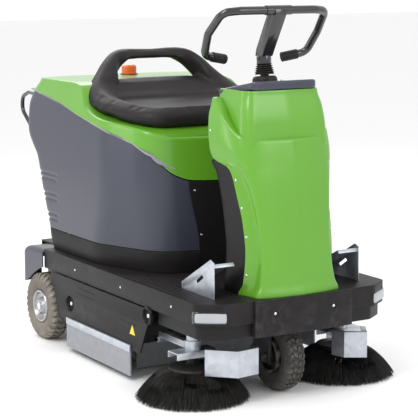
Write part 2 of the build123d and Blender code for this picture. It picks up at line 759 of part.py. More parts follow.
belt_plane = Plane(origin=(pulley_x[0] + 2, 0, 0), x_dir=(0, 1, 0), z_dir=(1, 0, 0))
belt_face = belt_plane * (belt_loop(belt_t) - belt_loop(0))
save("drive_belt", extrude(belt_face, amount=12, dir=(1, 0, 0)))

# ---- side brushes

arm_w = 30
hub_r = 15
pin_r = 6
channel_z = (side_disc_z + 43, side_disc_z + 66)
channel_y = (side_brush_y - 32, side_brush_y + 32)
channel_x = (-side_brush_x - 78, -side_brush_x + 78)
spindle_r = 8
gear_r = 28
gear_top = channel_z[1] + 34
motor_l = 34
small_motor_r = 22


def make_arm():
    hub = pipe((-arm_x - 20, arm_pivot_y, arm_pivot_z), (-arm_x + 20, arm_pivot_y, arm_pivot_z),
               hub_r, pin_r + running_gap)
    bar = block((-arm_x - arm_w / 2, -arm_x + arm_w / 2), (side_brush_y + 14, arm_pivot_y),
                (channel_z[1], channel_z[1] + 22))
    bar = bar - rod((-arm_x - arm_w, arm_pivot_y, arm_pivot_z), (-arm_x + arm_w, arm_pivot_y, arm_pivot_z),
                    hub_r - 1)
    return hub + bar


def make_channel():
    channel = block(channel_x, channel_y, channel_z)
    channel = channel - block((channel_x[0] - 1, channel_x[1] + 1),
                              (channel_y[0] + sheet, channel_y[1] - sheet),
                              (channel_z[0] - 1, channel_z[1] - sheet))
    return channel - rod((-side_brush_x, side_brush_y, channel_z[0] - 10),
                         (-side_brush_x, side_brush_y, channel_z[1] + 10), spindle_r + running_gap)


motor_body = pipe((-side_brush_x, side_brush_y, channel_z[1]), (-side_brush_x, side_brush_y, gear_top),
                  gear_r, spindle_r + running_gap)
motor_body = motor_body + rod((-side_brush_x, side_brush_y, gear_top),
                              (-side_brush_x, side_brush_y, gear_top + motor_l), small_motor_r)
motor_body = motor_body - make_arm()
save_pair("brush_arm", make_arm(), make_channel(), motor_body.solids().sort_by(SortBy.VOLUME)[-1])

guard_z = (97, 188)
guard_right = [(x - side_brush_x, column_line + y) for x, y in [(-12, -642), (69, -722), (158, -710),
                                                                (172, -668)]]
guard_left = [(side_brush_x + x, column_line + y) for x, y in [(-93, -625), (-79, -682), (-11, -723),
                                                               (39, -645)]]
guard_flange = 20
tie_x = side_brush_x - 43
tie_half = 18


def make_guard(route, link_x):
    outer = offset_route(route, 0)
    inner = offset_route(route, -sheet)
    wall = plan_prism(outer + inner[::-1], guard_z)
    flange = plan_prism(outer + offset_route(route, -guard_flange)[::-1], (guard_z[1] - sheet, guard_z[1]))
    guard = wall + flange
    tie = block((link_x - tie_half, link_x + tie_half), (guard_reach(route, link_x), channel_y[0]),
                (channel_z[1] - sheet, channel_z[1]))
    return guard + (tie - plan_prism([(x, y - 60) for x, y in route] + route[::-1], (90, 200)))


def offset_route(route, amount):
    """Move an open (x, y) route towards its inner side by -amount, mitred at the folds."""
    shifted = []
    for index, (x, y) in enumerate(route):
        legs = []
        if index > 0:
            legs.append((x - route[index - 1][0], y - route[index - 1][1]))
        if index < len(route) - 1:
            legs.append((route[index + 1][0] - x, route[index + 1][1] - y))
        normals = [(-dy / math.hypot(dx, dy), dx / math.hypot(dx, dy)) for dx, dy in legs]
        nx = sum(n[0] for n in normals)
        ny = sum(n[1] for n in normals)
        scale = len(normals) / (nx * nx + ny * ny)
        shifted.append((x - amount * nx * scale, y - amount * ny * scale))
    return shifted


def guard_reach(route, x):
    """The y of the guard's wall at x."""
    for (x0, y0), (x1, y1) in zip(route, route[1:]):
        if min(x0, x1) <= x <= max(x0, x1):
            return y0 + (y1 - y0) * (x - x0) / (x1 - x0)
    return min(y for x0, y in route)


save("brush_guard_right", make_guard(guard_right, -tie_x))
save("brush_guard_left", make_guard(guard_left, tie_x))

disc_z = (side_disc_z, side_disc_z + 10)
disc_hub_r = 20
brush_centre = (-side_brush_x, side_brush_y)
disc = cone(brush_centre, disc_z, side_disc_d / 2, side_disc_d / 2 - 8)
disc = disc + rod((*brush_centre, disc_z[1]), (*brush_centre, channel_z[0] - 2), disc_hub_r)
disc = disc - rod((*brush_centre, disc_z[0] - 10), (*brush_centre, channel_z[0]), spindle_r)
spindle = rod((*brush_centre, disc_z[0]), (*brush_centre, gear_top - 6), spindle_r)
save_pair("side_disc", disc, spindle)
tuft_t = 46
tuft_root_r = 30
bristles = cone(brush_centre, (0, disc_z[0]), side_brush_d / 2, side_disc_d / 2 - 4)
save_pair("side_bristles", bristles - cone(brush_centre, (-1, disc_z[0] - 14), side_brush_d / 2 - tuft_t,
                                           tuft_root_r))
pivot_pin = rod((-arm_x - 24, arm_pivot_y, arm_pivot_z), (-rail_in - 12, arm_pivot_y, arm_pivot_z), pin_r)
pivot_pin = pivot_pin + rod((-arm_x - 26, arm_pivot_y, arm_pivot_z),
                            (-arm_x - 20 - touch_gap, arm_pivot_y, arm_pivot_z), pin_r + 5)

# ---- pedals

pedal_x = (-292, -212)
heel_y = column_line - 468
heel_z = deck_top + 12
toe_y = column_line - 655
toe_z = deck_top + 112
pedal_pin_r = 4
heel_r = 8


def make_pedal():
    slope = math.atan2(toe_z - heel_z, heel_y - toe_y)
    up = (math.sin(slope) * heel_r, math.cos(slope) * heel_r)
    plate_outline = [(heel_y + up[0] * 0.5, heel_z + up[1] * 0.5), (toe_y + up[0] * 0.5, toe_z + up[1] * 0.5),
                     (toe_y - 6, toe_z - 8), (toe_y - 2, toe_z - 10), (toe_y + 5, toe_z - 1),
                     (heel_y, heel_z)]
    plate = side_prism(plate_outline, pedal_x)
    hub = rod((pedal_x[0], heel_y, heel_z), (pedal_x[1], heel_y, heel_z), heel_r)
    bore = rod((pedal_x[0] - 5, heel_y, heel_z), (pedal_x[1] + 5, heel_y, heel_z), pedal_pin_r + running_gap)
    return plate + hub - bore


save_pair("foot_pedal", make_pedal())


def make_pedal_frame():
    outline = [(heel_y + 14, deck_top), (heel_y + 14, heel_z + 12), (toe_y + 12, toe_z + 18),
               (toe_y - 10, toe_z + 10), (toe_y - 12, deck_top)]
    side = side_prism(outline, (pedal_x[0] - 1 - sheet, pedal_x[0] - 1))
    slot_outline = from_line(heel_y, [(-92, 396), (-82, 404), (-122, 430), (-132, 422)])
    slot = side_prism(slot_outline, (pedal_x[0] - 6, pedal_x[0] + 1))
    side = side - slot
    ear_outline = [(heel_y + 14, deck_top), (heel_y + 14, heel_z + 12), (heel_y - 14, heel_z + 12),
                   (heel_y - 14, deck_top)]
    ear = side_prism(ear_outline, (pedal_x[1] + 1, pedal_x[1] + 1 + sheet))
    foot = block((pedal_x[0] - 1, pedal_x[1] + 1), (heel_y + 10, heel_y + 13), (deck_top, deck_top + 18))
    bore = rod((pedal_x[0] - 9, heel_y, heel_z), (pedal_x[1] + 9, heel_y, heel_z), pedal_pin_r)
    return side + ear + foot - bore


save("pedal_frames", *both(make_pedal_frame()))
pin = rod((pedal_x[0] - 1 - sheet, heel_y, heel_z), (pedal_x[1] + 1 + sheet, heel_y, heel_z), pedal_pin_r)
save("pivot_pins", *both(pivot_pin), *both(pin))

# ---- hopper

hopper_x = rail_in + 14
hopper_y = (main_brush_y + tunnel_r + 112, fender_rear - 4)
hopper_wall = 4
flange_x = rail_in + 24
runner_gap = touch_gap


def make_hopper():
    bin_body = block((-hopper_x, hopper_x), hopper_y, hopper_z)
    bin_body = bin_body - block((-hopper_x + hopper_wall, hopper_x - hopper_wall),
                                (hopper_y[0] - 1, hopper_y[1] - hopper_wall),
                                (hopper_z[0] + hopper_wall, hopper_z[1] + 1))
    flange = block((-flange_x, -hopper_x), hopper_y, (hopper_z[1] - 6, hopper_z[1]))
    return bin_body + flange + flip(flange)


pull_half = 90
pull_r = 7
pull_reach = 44
pull_z = 200
pull_path = [(-pull_half, hopper_y[1], pull_z), (-pull_half, hopper_y[1] + pull_reach, pull_z),
             (pull_half, hopper_y[1] + pull_reach, pull_z), (pull_half, hopper_y[1], pull_z)]
save("hopper", make_hopper(), bent_tube(pull_path, [18, 18], pull_r))
runner_y = (hopper_y[0], hopper_y[1] - 7)
runner = block((-rail_in - 29, -rail_in - 26), runner_y, (hopper_z[1] - 16, rail_low))
ledge_top = hopper_z[1] - 6 - runner_gap
runner = runner + block((-rail_in - 26, -hopper_x - 1), runner_y, (ledge_top - 6, ledge_top))
save("chassis_frame", make_chassis(), *both(runner))

# ---- inside the body

battery_y = (body_line - 130, body_line + 190)
battery_top = deck_top + 240
charger_y = (body_line - 225, body_line - 150)
terminal_x = rail_in - 115
terminal_y = body_line + 150
terminal_r = 9
terminal_h = 18
battery_half = rail_in - 55
battery = block((-battery_half, battery_half), battery_y, (deck_top, battery_top))
for x in (-terminal_x, terminal_x):
    foot = (x, terminal_y, battery_top)
    battery = battery + rod(foot, (x, terminal_y, battery_top + terminal_h), terminal_r)
save("battery_pack", block((-110, 110), charger_y, (deck_top, deck_top + 120)), battery)
filter_y = (body_line + 240, body_line + 440)
filter_half = rail_in - 35
filter_top = deck_top + 150
filter_wall = 8
fan_y = body_line + 340
filter_box = block((-filter_half, filter_half), filter_y, (deck_top, filter_top))
filter_box = filter_box - block((-filter_half + filter_wall, filter_half - filter_wall),
                                (filter_y[0] + filter_wall, filter_y[1] - filter_wall),
                                (deck_top - 1, filter_top - 40))
fan = rod((0, fan_y, filter_top), (0, fan_y, filter_top + 70), 80)
fan = fan + rod((0, fan_y, filter_top + 70), (0, fan_y, filter_top + 150), 46)
save("dust_filter", filter_box, fan)

# ---- seat and beacon

seat_half = deck_half - 47
cushion_front = -216
cushion_outline = [(cushion_front, 856), (-136, 878), (60, 900), (166, 940), (160, 950), (-168, 946),
                   (-212, 920)]
back_outline = [(166, 940), (238, 1008), (322, 1120), (300, 1134), (276, 1124), (160, 950)]
seat_zone_z = (800, 1200)
wing_top = 985
arch_half = 165
arch_top = 1140
window = [(-144, 1018), (-100, 1102), (100, 1102), (144, 1018)]


def make_cushion():
    block_form = side_prism(from_line(body_line, cushion_outline), (-seat_half, seat_half))
    nose_half = seat_half - 88
    half = [(seat_half, 260), (seat_half, -60), (nose_half, cushion_front)]
    plan = [(-x, body_line + y) for x, y in half] + [(x, body_line + y) for x, y in half[::-1]]
    return block_form & plan_prism(plan, seat_zone_z, 30)


def through_y(outline, radius):
    """An (x, z) outline stretched along the whole seat."""
    edge = FilletPolyline(*[(x, body_line - 400, z) for x, z in outline], radius=radius, close=True)
    return extrude(make_face(edge), amount=900, dir=(0, 1, 0))


def make_backrest():
    slab = side_prism(from_line(body_line, back_outline), (-seat_half, seat_half))
    arch = [(-seat_half, 880), (-seat_half, wing_top), (-arch_half, arch_top), (arch_half, arch_top),
            (seat_half, wing_top), (seat_half, 880)]
    return (slab & through_y(arch, [60, 24, 24, 60, 0, 0])) - through_y(window, 10)


save("seat_cushion", make_cushion() - body_outer)
save("seat_backrest", (make_backrest() - body_outer).solids().sort_by(SortBy.VOLUME)[-1])

beacon = (0, body_line + 466)
beacon_foot_h = 8
beacon_foot_r = 36
lens_r = 29
lens_h = 38
beacon_foot = rod((*beacon, hood_top), (*beacon, hood_top + beacon_foot_h), beacon_foot_r)
lens = rod((*beacon, hood_top + beacon_foot_h), (*beacon, hood_top + beacon_foot_h + lens_h), lens_r)
save("beacon", beacon_foot, fillet(lens.edges().sort_by(Axis.Z)[-1:], 12))

hinge_x = 190
hinge_y = rear_y - 116
hinge_z = 962
hinge_pin_r = 4
knuckle_r = 8
hinge_pin = rod((-hinge_x - 34, hinge_y, hinge_z), (-hinge_x + 34, hinge_y, hinge_z), hinge_pin_r)


def hinge_knuckle(x):
    return pipe((x[0], hinge_y, hinge_z), (x[1], hinge_y, hinge_z), knuckle_r, hinge_pin_r + running_gap)


outer_knuckles = []
for middle in (-hinge_x - 23, -hinge_x + 23):
    span = (middle - 10, middle + 10)
    leaf = side_prism([(hinge_y - 7, hinge_z), (hinge_y + 2, hinge_z - 5), (hinge_y + 12, hinge_z - 74),
                       (hinge_y - 20, hinge_z - 74)], span)
    leaf = leaf - body_outer - rod((-400, hinge_y, hinge_z), (0, hinge_y, hinge_z), hinge_pin_r + running_gap)
    outer_knuckles.append((hinge_knuckle(span) + leaf).solids().sort_by(SortBy.VOLUME)[-1])
save("hinge_leaves", *both(hinge_pin), *[piece for knuckle in outer_knuckles for piece in both(knuckle)])
inner_span = (-hinge_x - 12.5, -hinge_x + 12.5)
hood_leaf = side_prism([(hinge_y - 4, hinge_z + 3), (hinge_y + 7, hinge_z + 3), (hinge_y - 10, hinge_z + 34),
                        (hinge_y - 40, hinge_z + 44), (hinge_y - 40, hinge_z + 20)], inner_span)
hood_leaf = hood_leaf - body_outer - rod((-400, hinge_y, hinge_z), (0, hinge_y, hinge_z),
                                         hinge_pin_r + running_gap)
hood_knuckle = (hinge_knuckle(inner_span) + hood_leaf) - body_outer
save("hood_knuckles", *both(hood_knuckle.solids().sort_by(SortBy.VOLUME)[-1]))
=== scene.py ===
import json
import math
import random
import bpy
import bmesh
from mathutils import Matrix, Vector


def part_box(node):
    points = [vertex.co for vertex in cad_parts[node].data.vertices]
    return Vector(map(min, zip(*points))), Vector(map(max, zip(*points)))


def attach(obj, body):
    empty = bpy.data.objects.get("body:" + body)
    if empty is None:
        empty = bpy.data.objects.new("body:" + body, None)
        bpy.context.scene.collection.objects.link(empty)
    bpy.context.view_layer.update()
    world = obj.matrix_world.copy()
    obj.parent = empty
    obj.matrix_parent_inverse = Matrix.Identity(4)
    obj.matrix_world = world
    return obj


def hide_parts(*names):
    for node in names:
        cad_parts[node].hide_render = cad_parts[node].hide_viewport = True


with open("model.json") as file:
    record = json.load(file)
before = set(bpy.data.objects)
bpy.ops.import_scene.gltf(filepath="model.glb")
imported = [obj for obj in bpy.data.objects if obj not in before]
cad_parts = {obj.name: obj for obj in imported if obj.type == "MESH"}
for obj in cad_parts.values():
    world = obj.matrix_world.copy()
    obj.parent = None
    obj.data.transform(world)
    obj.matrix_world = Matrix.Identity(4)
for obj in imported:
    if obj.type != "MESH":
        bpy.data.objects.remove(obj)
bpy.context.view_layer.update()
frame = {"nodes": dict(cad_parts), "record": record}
print("frame loaded")


# general mesh helpers, all in metres and in the frame's axes

def linked(name, data):
    piece = bpy.data.objects.new(name, data)
    bpy.context.scene.collection.objects.link(piece)
    return piece


def smoothed(piece, sharpAngle=None):
    piece.data.polygons.foreach_set("use_smooth", [True] * len(piece.data.polygons))
    if sharpAngle:
        piece.data.set_sharp_from_angle(angle=math.radians(sharpAngle))
    return piece


def meshObject(name, points, faces):
    mesh = bpy.data.meshes.new(name)
    mesh.from_pydata([tuple(p) for p in points], [], faces)
    mesh.validate()
    return smoothed(linked(name, mesh))


def cleaned(piece, weld=0.0, fill=False):
    # welds near points, closes open ends and makes the faces agree
    mesh = bmesh.new()
    mesh.from_mesh(piece.data)
    if weld:
        bmesh.ops.remove_doubles(mesh, verts=mesh.verts, dist=weld)
    if fill:
        bmesh.ops.holes_fill(mesh, edges=mesh.edges)
    bmesh.ops.recalc_face_normals(mesh, faces=mesh.faces)
    mesh.to_mesh(piece.data)
    mesh.free()
    return piece


def turns(steps):
    return [2 * math.pi * k / steps for k in range(steps)]


def quarter(step, steps):
    # how far a rounded edge has come in, and how far it still has to rise
    turn = math.pi / 2 * step / steps
    return 1 - math.cos(turn), 1 - math.sin(turn)


def flipped(p):
    return Vector((-p.x, p.y, p.z))


def bothSides(row):
    # a row that starts at the middle, with its mirror before it
    return [flipped(p) for p in row[:0:-1]] + row


def transposed(columns):
    return [list(row) for row in zip(*columns)]


def nodeMiddle(node):
    low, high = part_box(node)
    return (low + high) / 2, high - low


def applyModifiers(piece):
    graph = bpy.context.evaluated_depsgraph_get()
    mesh = bpy.data.meshes.new_from_object(piece.evaluated_get(graph))
    piece.modifiers.clear()
    piece.data = mesh
    return piece


def gridSkin(name, rows, closed=False):
    across = len(rows[0])
    points = [p for row in rows for p in row]
    faces = []
    for r in range(len(rows) - 1):
        for c in range(across if closed else across - 1):
            n = (c + 1) % across
            faces.append((r * across + c, r * across + n, (r + 1) * across + n, (r + 1) * across + c))
    return meshObject(name, points, faces)


def thicken(piece, wall, edge=0.0008):
    shell = piece.modifiers.new("wall", "SOLIDIFY")
    shell.thickness = wall
    shell.offset = -1
    shell.use_even_offset = True
    if edge:
        bevel = piece.modifiers.new("edge", "BEVEL")
        bevel.width = edge
        bevel.segments = 2
        bevel.limit_method = "ANGLE"
        bevel.angle_limit = math.radians(50)
    return applyModifiers(piece)


def outward(piece, centre):
    # every face looks away from the centre
    mesh = bmesh.new()
    mesh.from_mesh(piece.data)
    bmesh.ops.recalc_face_normals(mesh, faces=mesh.faces)
    away = sum((f.calc_center_median() - Vector(centre)).dot(f.normal) * f.calc_area()
               for f in mesh.faces)
    if away < 0:
        bmesh.ops.reverse_faces(mesh, faces=mesh.faces)
    mesh.to_mesh(piece.data)
    mesh.free()
    return piece


def joined(name, parts):
    points, faces, start = [], [], 0
    for part in parts:
        points += [part.matrix_world @ v.co for v in part.data.vertices]
        faces += [[start + i for i in f.vertices] for f in part.data.polygons]
        start = len(points)
        bpy.data.objects.remove(part)
    return meshObject(name, points, faces)


def mirrored(name, piece):
    points = [(-v.co.x, v.co.y, v.co.z) for v in piece.data.vertices]
    faces = [list(f.vertices)[::-1] for f in piece.data.polygons]
    return meshObject(name, points, faces)


def softened(node, name, width):
    # a copy of a CAD piece with its edges rounded
    mesh = bmesh.new()
    mesh.from_mesh(frame["nodes"][node].data)
    bmesh.ops.remove_doubles(mesh, verts=mesh.verts, dist=0.00002)
    bmesh.ops.dissolve_limit(mesh, angle_limit=math.radians(0.6), verts=mesh.verts, edges=mesh.edges)
    data = bpy.data.meshes.new(name)
    mesh.to_mesh(data)
    mesh.free()
    piece = linked(name, data)
    bevel = piece.modifiers.new("edge", "BEVEL")
    bevel.width = width
    bevel.segments = 3
    bevel.limit_method = "ANGLE"
    bevel.angle_limit = math.radians(32)
    bevel.use_clamp_overlap = True
    return smoothed(applyModifiers(piece), 38)


def lathe(name, profile, origin, axis, steps=64):
    # profile holds (distance along the axis, radius)
    direction = Vector(axis).normalized()
    side = direction.orthogonal().normalized()
    other = direction.cross(side)
    rows = []
    for along, radius in profile:
        centre = Vector(origin) + direction * along
        rows.append([centre + (side * math.cos(turn) + other * math.sin(turn)) * radius
                     for turn in turns(steps)])
    piece = cleaned(gridSkin(name, rows, closed=True), weld=0.000005)
    piece.data.set_sharp_from_angle(angle=math.radians(40))
    return piece


def readTable(rows, key):
    # smooth values between the rows of a table, by its first column
    if key <= rows[0][0]:
        return rows[0][1:]
    if key >= rows[-1][0]:
        return rows[-1][1:]
    i = max(n for n in range(len(rows)) if rows[n][0] <= key)
    a, b = rows[i], rows[i + 1]
    span = b[0] - a[0]
    t = (key - a[0]) / span

    def slope(n, c):
        if n == 0 or n == len(rows) - 1:
            return 0
        before = (rows[n][c] - rows[n - 1][c]) / (rows[n][0] - rows[n - 1][0])
        after = (rows[n + 1][c] - rows[n][c]) / (rows[n + 1][0] - rows[n][0])
        return 0 if before * after <= 0 else 2 * before * after / (before + after)

    out = []
    for c in range(1, len(a)):
        m, n = slope(i, c) * span, slope(i + 1, c) * span
        out.append((2 * t ** 3 - 3 * t ** 2 + 1) * a[c] + (t ** 3 - 2 * t ** 2 + t) * m
                   + (3 * t ** 2 - 2 * t ** 3) * b[c] + (t ** 3 - t ** 2) * n)
    return out


def smoothLine(points, count):
    # a smooth line through the points, evenly spaced
    dense = []
    ends = [points[0] * 2 - points[1]] + points + [points[-1] * 2 - points[-2]]
    for i in range(1, len(ends) - 2):
        for k in range(12):
            t = k / 12
            p, q, r, s = ends[i - 1:i + 3]
            dense.append(0.5 * (2 * q + (r - p) * t + (2 * p - 5 * q + 4 * r - s) * t * t
                                + (3 * q - p - 3 * r + s) * t ** 3))
    dense.append(points[-1])
    return evenly(dense, count)


def roundedPath(points, radii, steps=8):
    path = [points[0]]
    for i in range(1, len(points) - 1):
        before, corner, after = points[i - 1], points[i], points[i + 1]
        a, b = (before - corner), (after - corner)
        half = a.angle(b) / 2
        reach = min(radii[i] / math.tan(half), a.length * 0.49, b.length * 0.49)
        start, end = corner + a.normalized() * reach, corner + b.normalized() * reach
        for k in range(steps + 1):
            t = k / steps
            path.append(start * (1 - t) ** 2 + corner * 2 * t * (1 - t) + end * t ** 2)
    return path + [points[-1]]


def evenly(path, count):
    lengths = [0]
    for a, b in zip(path, path[1:]):
        lengths.append(lengths[-1] + (b - a).length)
    out, i = [], 0
    for k in range(count):
        target = lengths[-1] * k / (count - 1)
        while i < len(path) - 2 and lengths[i + 1] < target:
            i += 1
        part = lengths[i + 1] - lengths[i]
        share = 0 if part < 1e-12 else min(1, (target - lengths[i]) / part)
        out.append(path[i].lerp(path[i + 1], share))
    return out


# shader groups, each built once

def newGroup(name, inputs, outputs):
    group = bpy.data.node_groups.new(name, "ShaderNodeTree")
    for label, kind, value in inputs:
        made = group.interface.new_socket(name=label, in_out="INPUT", socket_type=kind)
        made.default_value = value
    for label, kind in outputs:
        group.interface.new_socket(name=label, in_out="OUTPUT", socket_type=kind)
    return group, group.nodes.new("NodeGroupInput"), group.nodes.new("NodeGroupOutput")


def addNode(tree, kind, **settings):
    made = tree.nodes.new(kind)
    for label, value in settings.items():
        setattr(made, label, value)
    return made


def feed(tree, socket, value):
    if isinstance(value, bpy.types.NodeSocket):
        tree.links.new(value, socket)
    else:
        socket.default_value = value


def mixColour(tree, factor, a, b):
    mix = addNode(tree, "ShaderNodeMix", data_type="RGBA", blend_type="MIX")
    for number, value in ((0, factor), (6, a), (7, b)):
        feed(tree, mix.inputs[number], value)
    return mix.outputs[2]


def calc(tree, operation, a, b=0.0, clamp=False):
    node = addNode(tree, "ShaderNodeMath", operation=operation, use_clamp=clamp)
    feed(tree, node.inputs[0], a)
    feed(tree, node.inputs[1], b)
    return node.outputs[0]


def objectPlace(tree):
    return addNode(tree, "ShaderNodeTexCoord").outputs["Object"]


def noiseAt(tree, scale, detail, coordinates):
    noise = addNode(tree, "ShaderNodeTexNoise")
    noise.inputs["Detail"].default_value = detail
    noise.inputs["Roughness"].default_value = 0.55
    feed(tree, noise.inputs["Scale"], scale)
    tree.links.new(coordinates, noise.inputs["Vector"])
    return noise.outputs["Fac"]


def buildToneGroup():
    # slow changes of colour over a moulding
    group, given, result = newGroup("moulded tone", [
        ("Base", "NodeSocketColor", (0.5, 0.5, 0.5, 1)), ("Deep", "NodeSocketColor", (0.3, 0.3, 0.3, 1)),
        ("Scale", "NodeSocketFloat", 4.0), ("Amount", "NodeSocketFloat", 0.3)],
        [("Color", "NodeSocketColor"), ("Tone", "NodeSocketFloat")])
    where = objectPlace(group)
    cloud = noiseAt(group, given.outputs["Scale"], 4, where)
    fine = noiseAt(group, 260.0, 2, where)
    both = calc(group, "ADD", calc(group, "MULTIPLY", cloud, 0.8), calc(group, "MULTIPLY", fine, 0.2))
    tone = calc(group, "MULTIPLY", both, given.outputs["Amount"], clamp=True)
    group.links.new(mixColour(group, tone, given.outputs["Base"], given.outputs["Deep"]),
                    result.inputs["Color"])
    group.links.new(tone, result.inputs["Tone"])
    return group


def buildGrainGroup():
    # leather-like or sand-blasted surface grain
    group, given, result = newGroup("surface grain", [
        ("Scale", "NodeSocketFloat", 900.0), ("Coarse", "NodeSocketFloat", 40.0),
        ("Mix", "NodeSocketFloat", 0.3)], [("Height", "NodeSocketFloat")])
    where = objectPlace(group)
    cells = addNode(group, "ShaderNodeTexVoronoi", feature="SMOOTH_F1")
    group.links.new(given.outputs["Scale"], cells.inputs["Scale"])
    group.links.new(where, cells.inputs["Vector"])
    coarse = noiseAt(group, given.outputs["Coarse"], 5, where)
    kept = calc(group, "SUBTRACT", 1.0, given.outputs["Mix"])
    height = calc(group, "ADD", calc(group, "MULTIPLY", cells.outputs["Distance"], kept),
                  calc(group, "MULTIPLY", coarse, given.outputs["Mix"]))
    group.links.new(height, result.inputs["Height"])
    return group


def buildWearGroup():
    # rubbed convex edges, broken up by noise
    group, given, result = newGroup("edge rub", [
        ("Reach", "NodeSocketFloat", 0.5), ("Breakup", "NodeSocketFloat", 30.0)],
        [("Mask", "NodeSocketFloat")])
    where = objectPlace(group)
    shape = addNode(group, "ShaderNodeNewGeometry").outputs["Pointiness"]
    sharp = calc(group, "MULTIPLY", calc(group, "SUBTRACT", shape, 0.515), 14.0, clamp=True)
    patches = noiseAt(group, given.outputs["Breakup"], 6, where)
    broken = calc(group, "MULTIPLY", calc(group, "SUBTRACT", patches, 0.42), 5.0, clamp=True)
    mask = calc(group, "MULTIPLY", calc(group, "MULTIPLY", sharp, broken), given.outputs["Reach"],
                clamp=True)
    group.links.new(mask, result.inputs["Mask"])
    return group


def buildDustGroup():
    # pale dust that settles on what faces up, thicker near the floor
    group, given, result = newGroup("settled dust", [
        ("Amount", "NodeSocketFloat", 0.1), ("Top", "NodeSocketFloat", 0.5)], [("Mask", "NodeSocketFloat")])
    where = objectPlace(group)
    height = addNode(group, "ShaderNodeSeparateXYZ")
    group.links.new(where, height.inputs[0])
    share = calc(group, "DIVIDE", height.outputs[2], given.outputs["Top"])
    low = calc(group, "SUBTRACT", 1.0, share, clamp=True)
    facing = addNode(group, "ShaderNodeSeparateXYZ")
    group.links.new(addNode(group, "ShaderNodeNewGeometry").outputs["Normal"], facing.inputs[0])
    up = calc(group, "MULTIPLY", facing.outputs[2], 0.6, clamp=True)
    patch = noiseAt(group, 14.0, 6, where)
    mask = calc(group, "MULTIPLY", calc(group, "MULTIPLY", calc(group, "ADD", low, up), patch),
                given.outputs["Amount"], clamp=True)
    group.links.new(mask, result.inputs["Mask"])
    return group


def buildBrushedGroup():
    # long fine scratches of rolled sheet, and the spangle of its zinc
    group, given, result = newGroup("rolled sheet", [
        ("Scale", "NodeSocketFloat", 60.0), ("Spangle", "NodeSocketFloat", 60.0)],
        [("Height", "NodeSocketFloat"), ("Flake", "NodeSocketFloat")])
    where = objectPlace(group)
    stretch = addNode(group, "ShaderNodeMapping")
    stretch.inputs["Scale"].default_value = (1, 1, 18)
    group.links.new(where, stretch.inputs["Vector"])
    group.links.new(noiseAt(group, given.outputs["Scale"], 4, stretch.outputs[0]), result.inputs["Height"])
    flakes = addNode(group, "ShaderNodeTexVoronoi", feature="F1")
    group.links.new(given.outputs["Spangle"], flakes.inputs["Scale"])
    group.links.new(where, flakes.inputs["Vector"])
    tone = addNode(group, "ShaderNodeSeparateColor")
    group.links.new(flakes.outputs["Color"], tone.inputs[0])
    group.links.new(tone.outputs[0], result.inputs["Flake"])
    return group


toneGroup = buildToneGroup()
grainGroup = buildGrainGroup()
wearGroup = buildWearGroup()
dustGroup = buildDustGroup()
brushedGroup = buildBrushedGroup()


def useGroup(tree, group, **values):
    node = tree.nodes.new("ShaderNodeGroup")
    node.node_tree = group
    for label, value in values.items():
        node.inputs[label].default_value = value
    return node


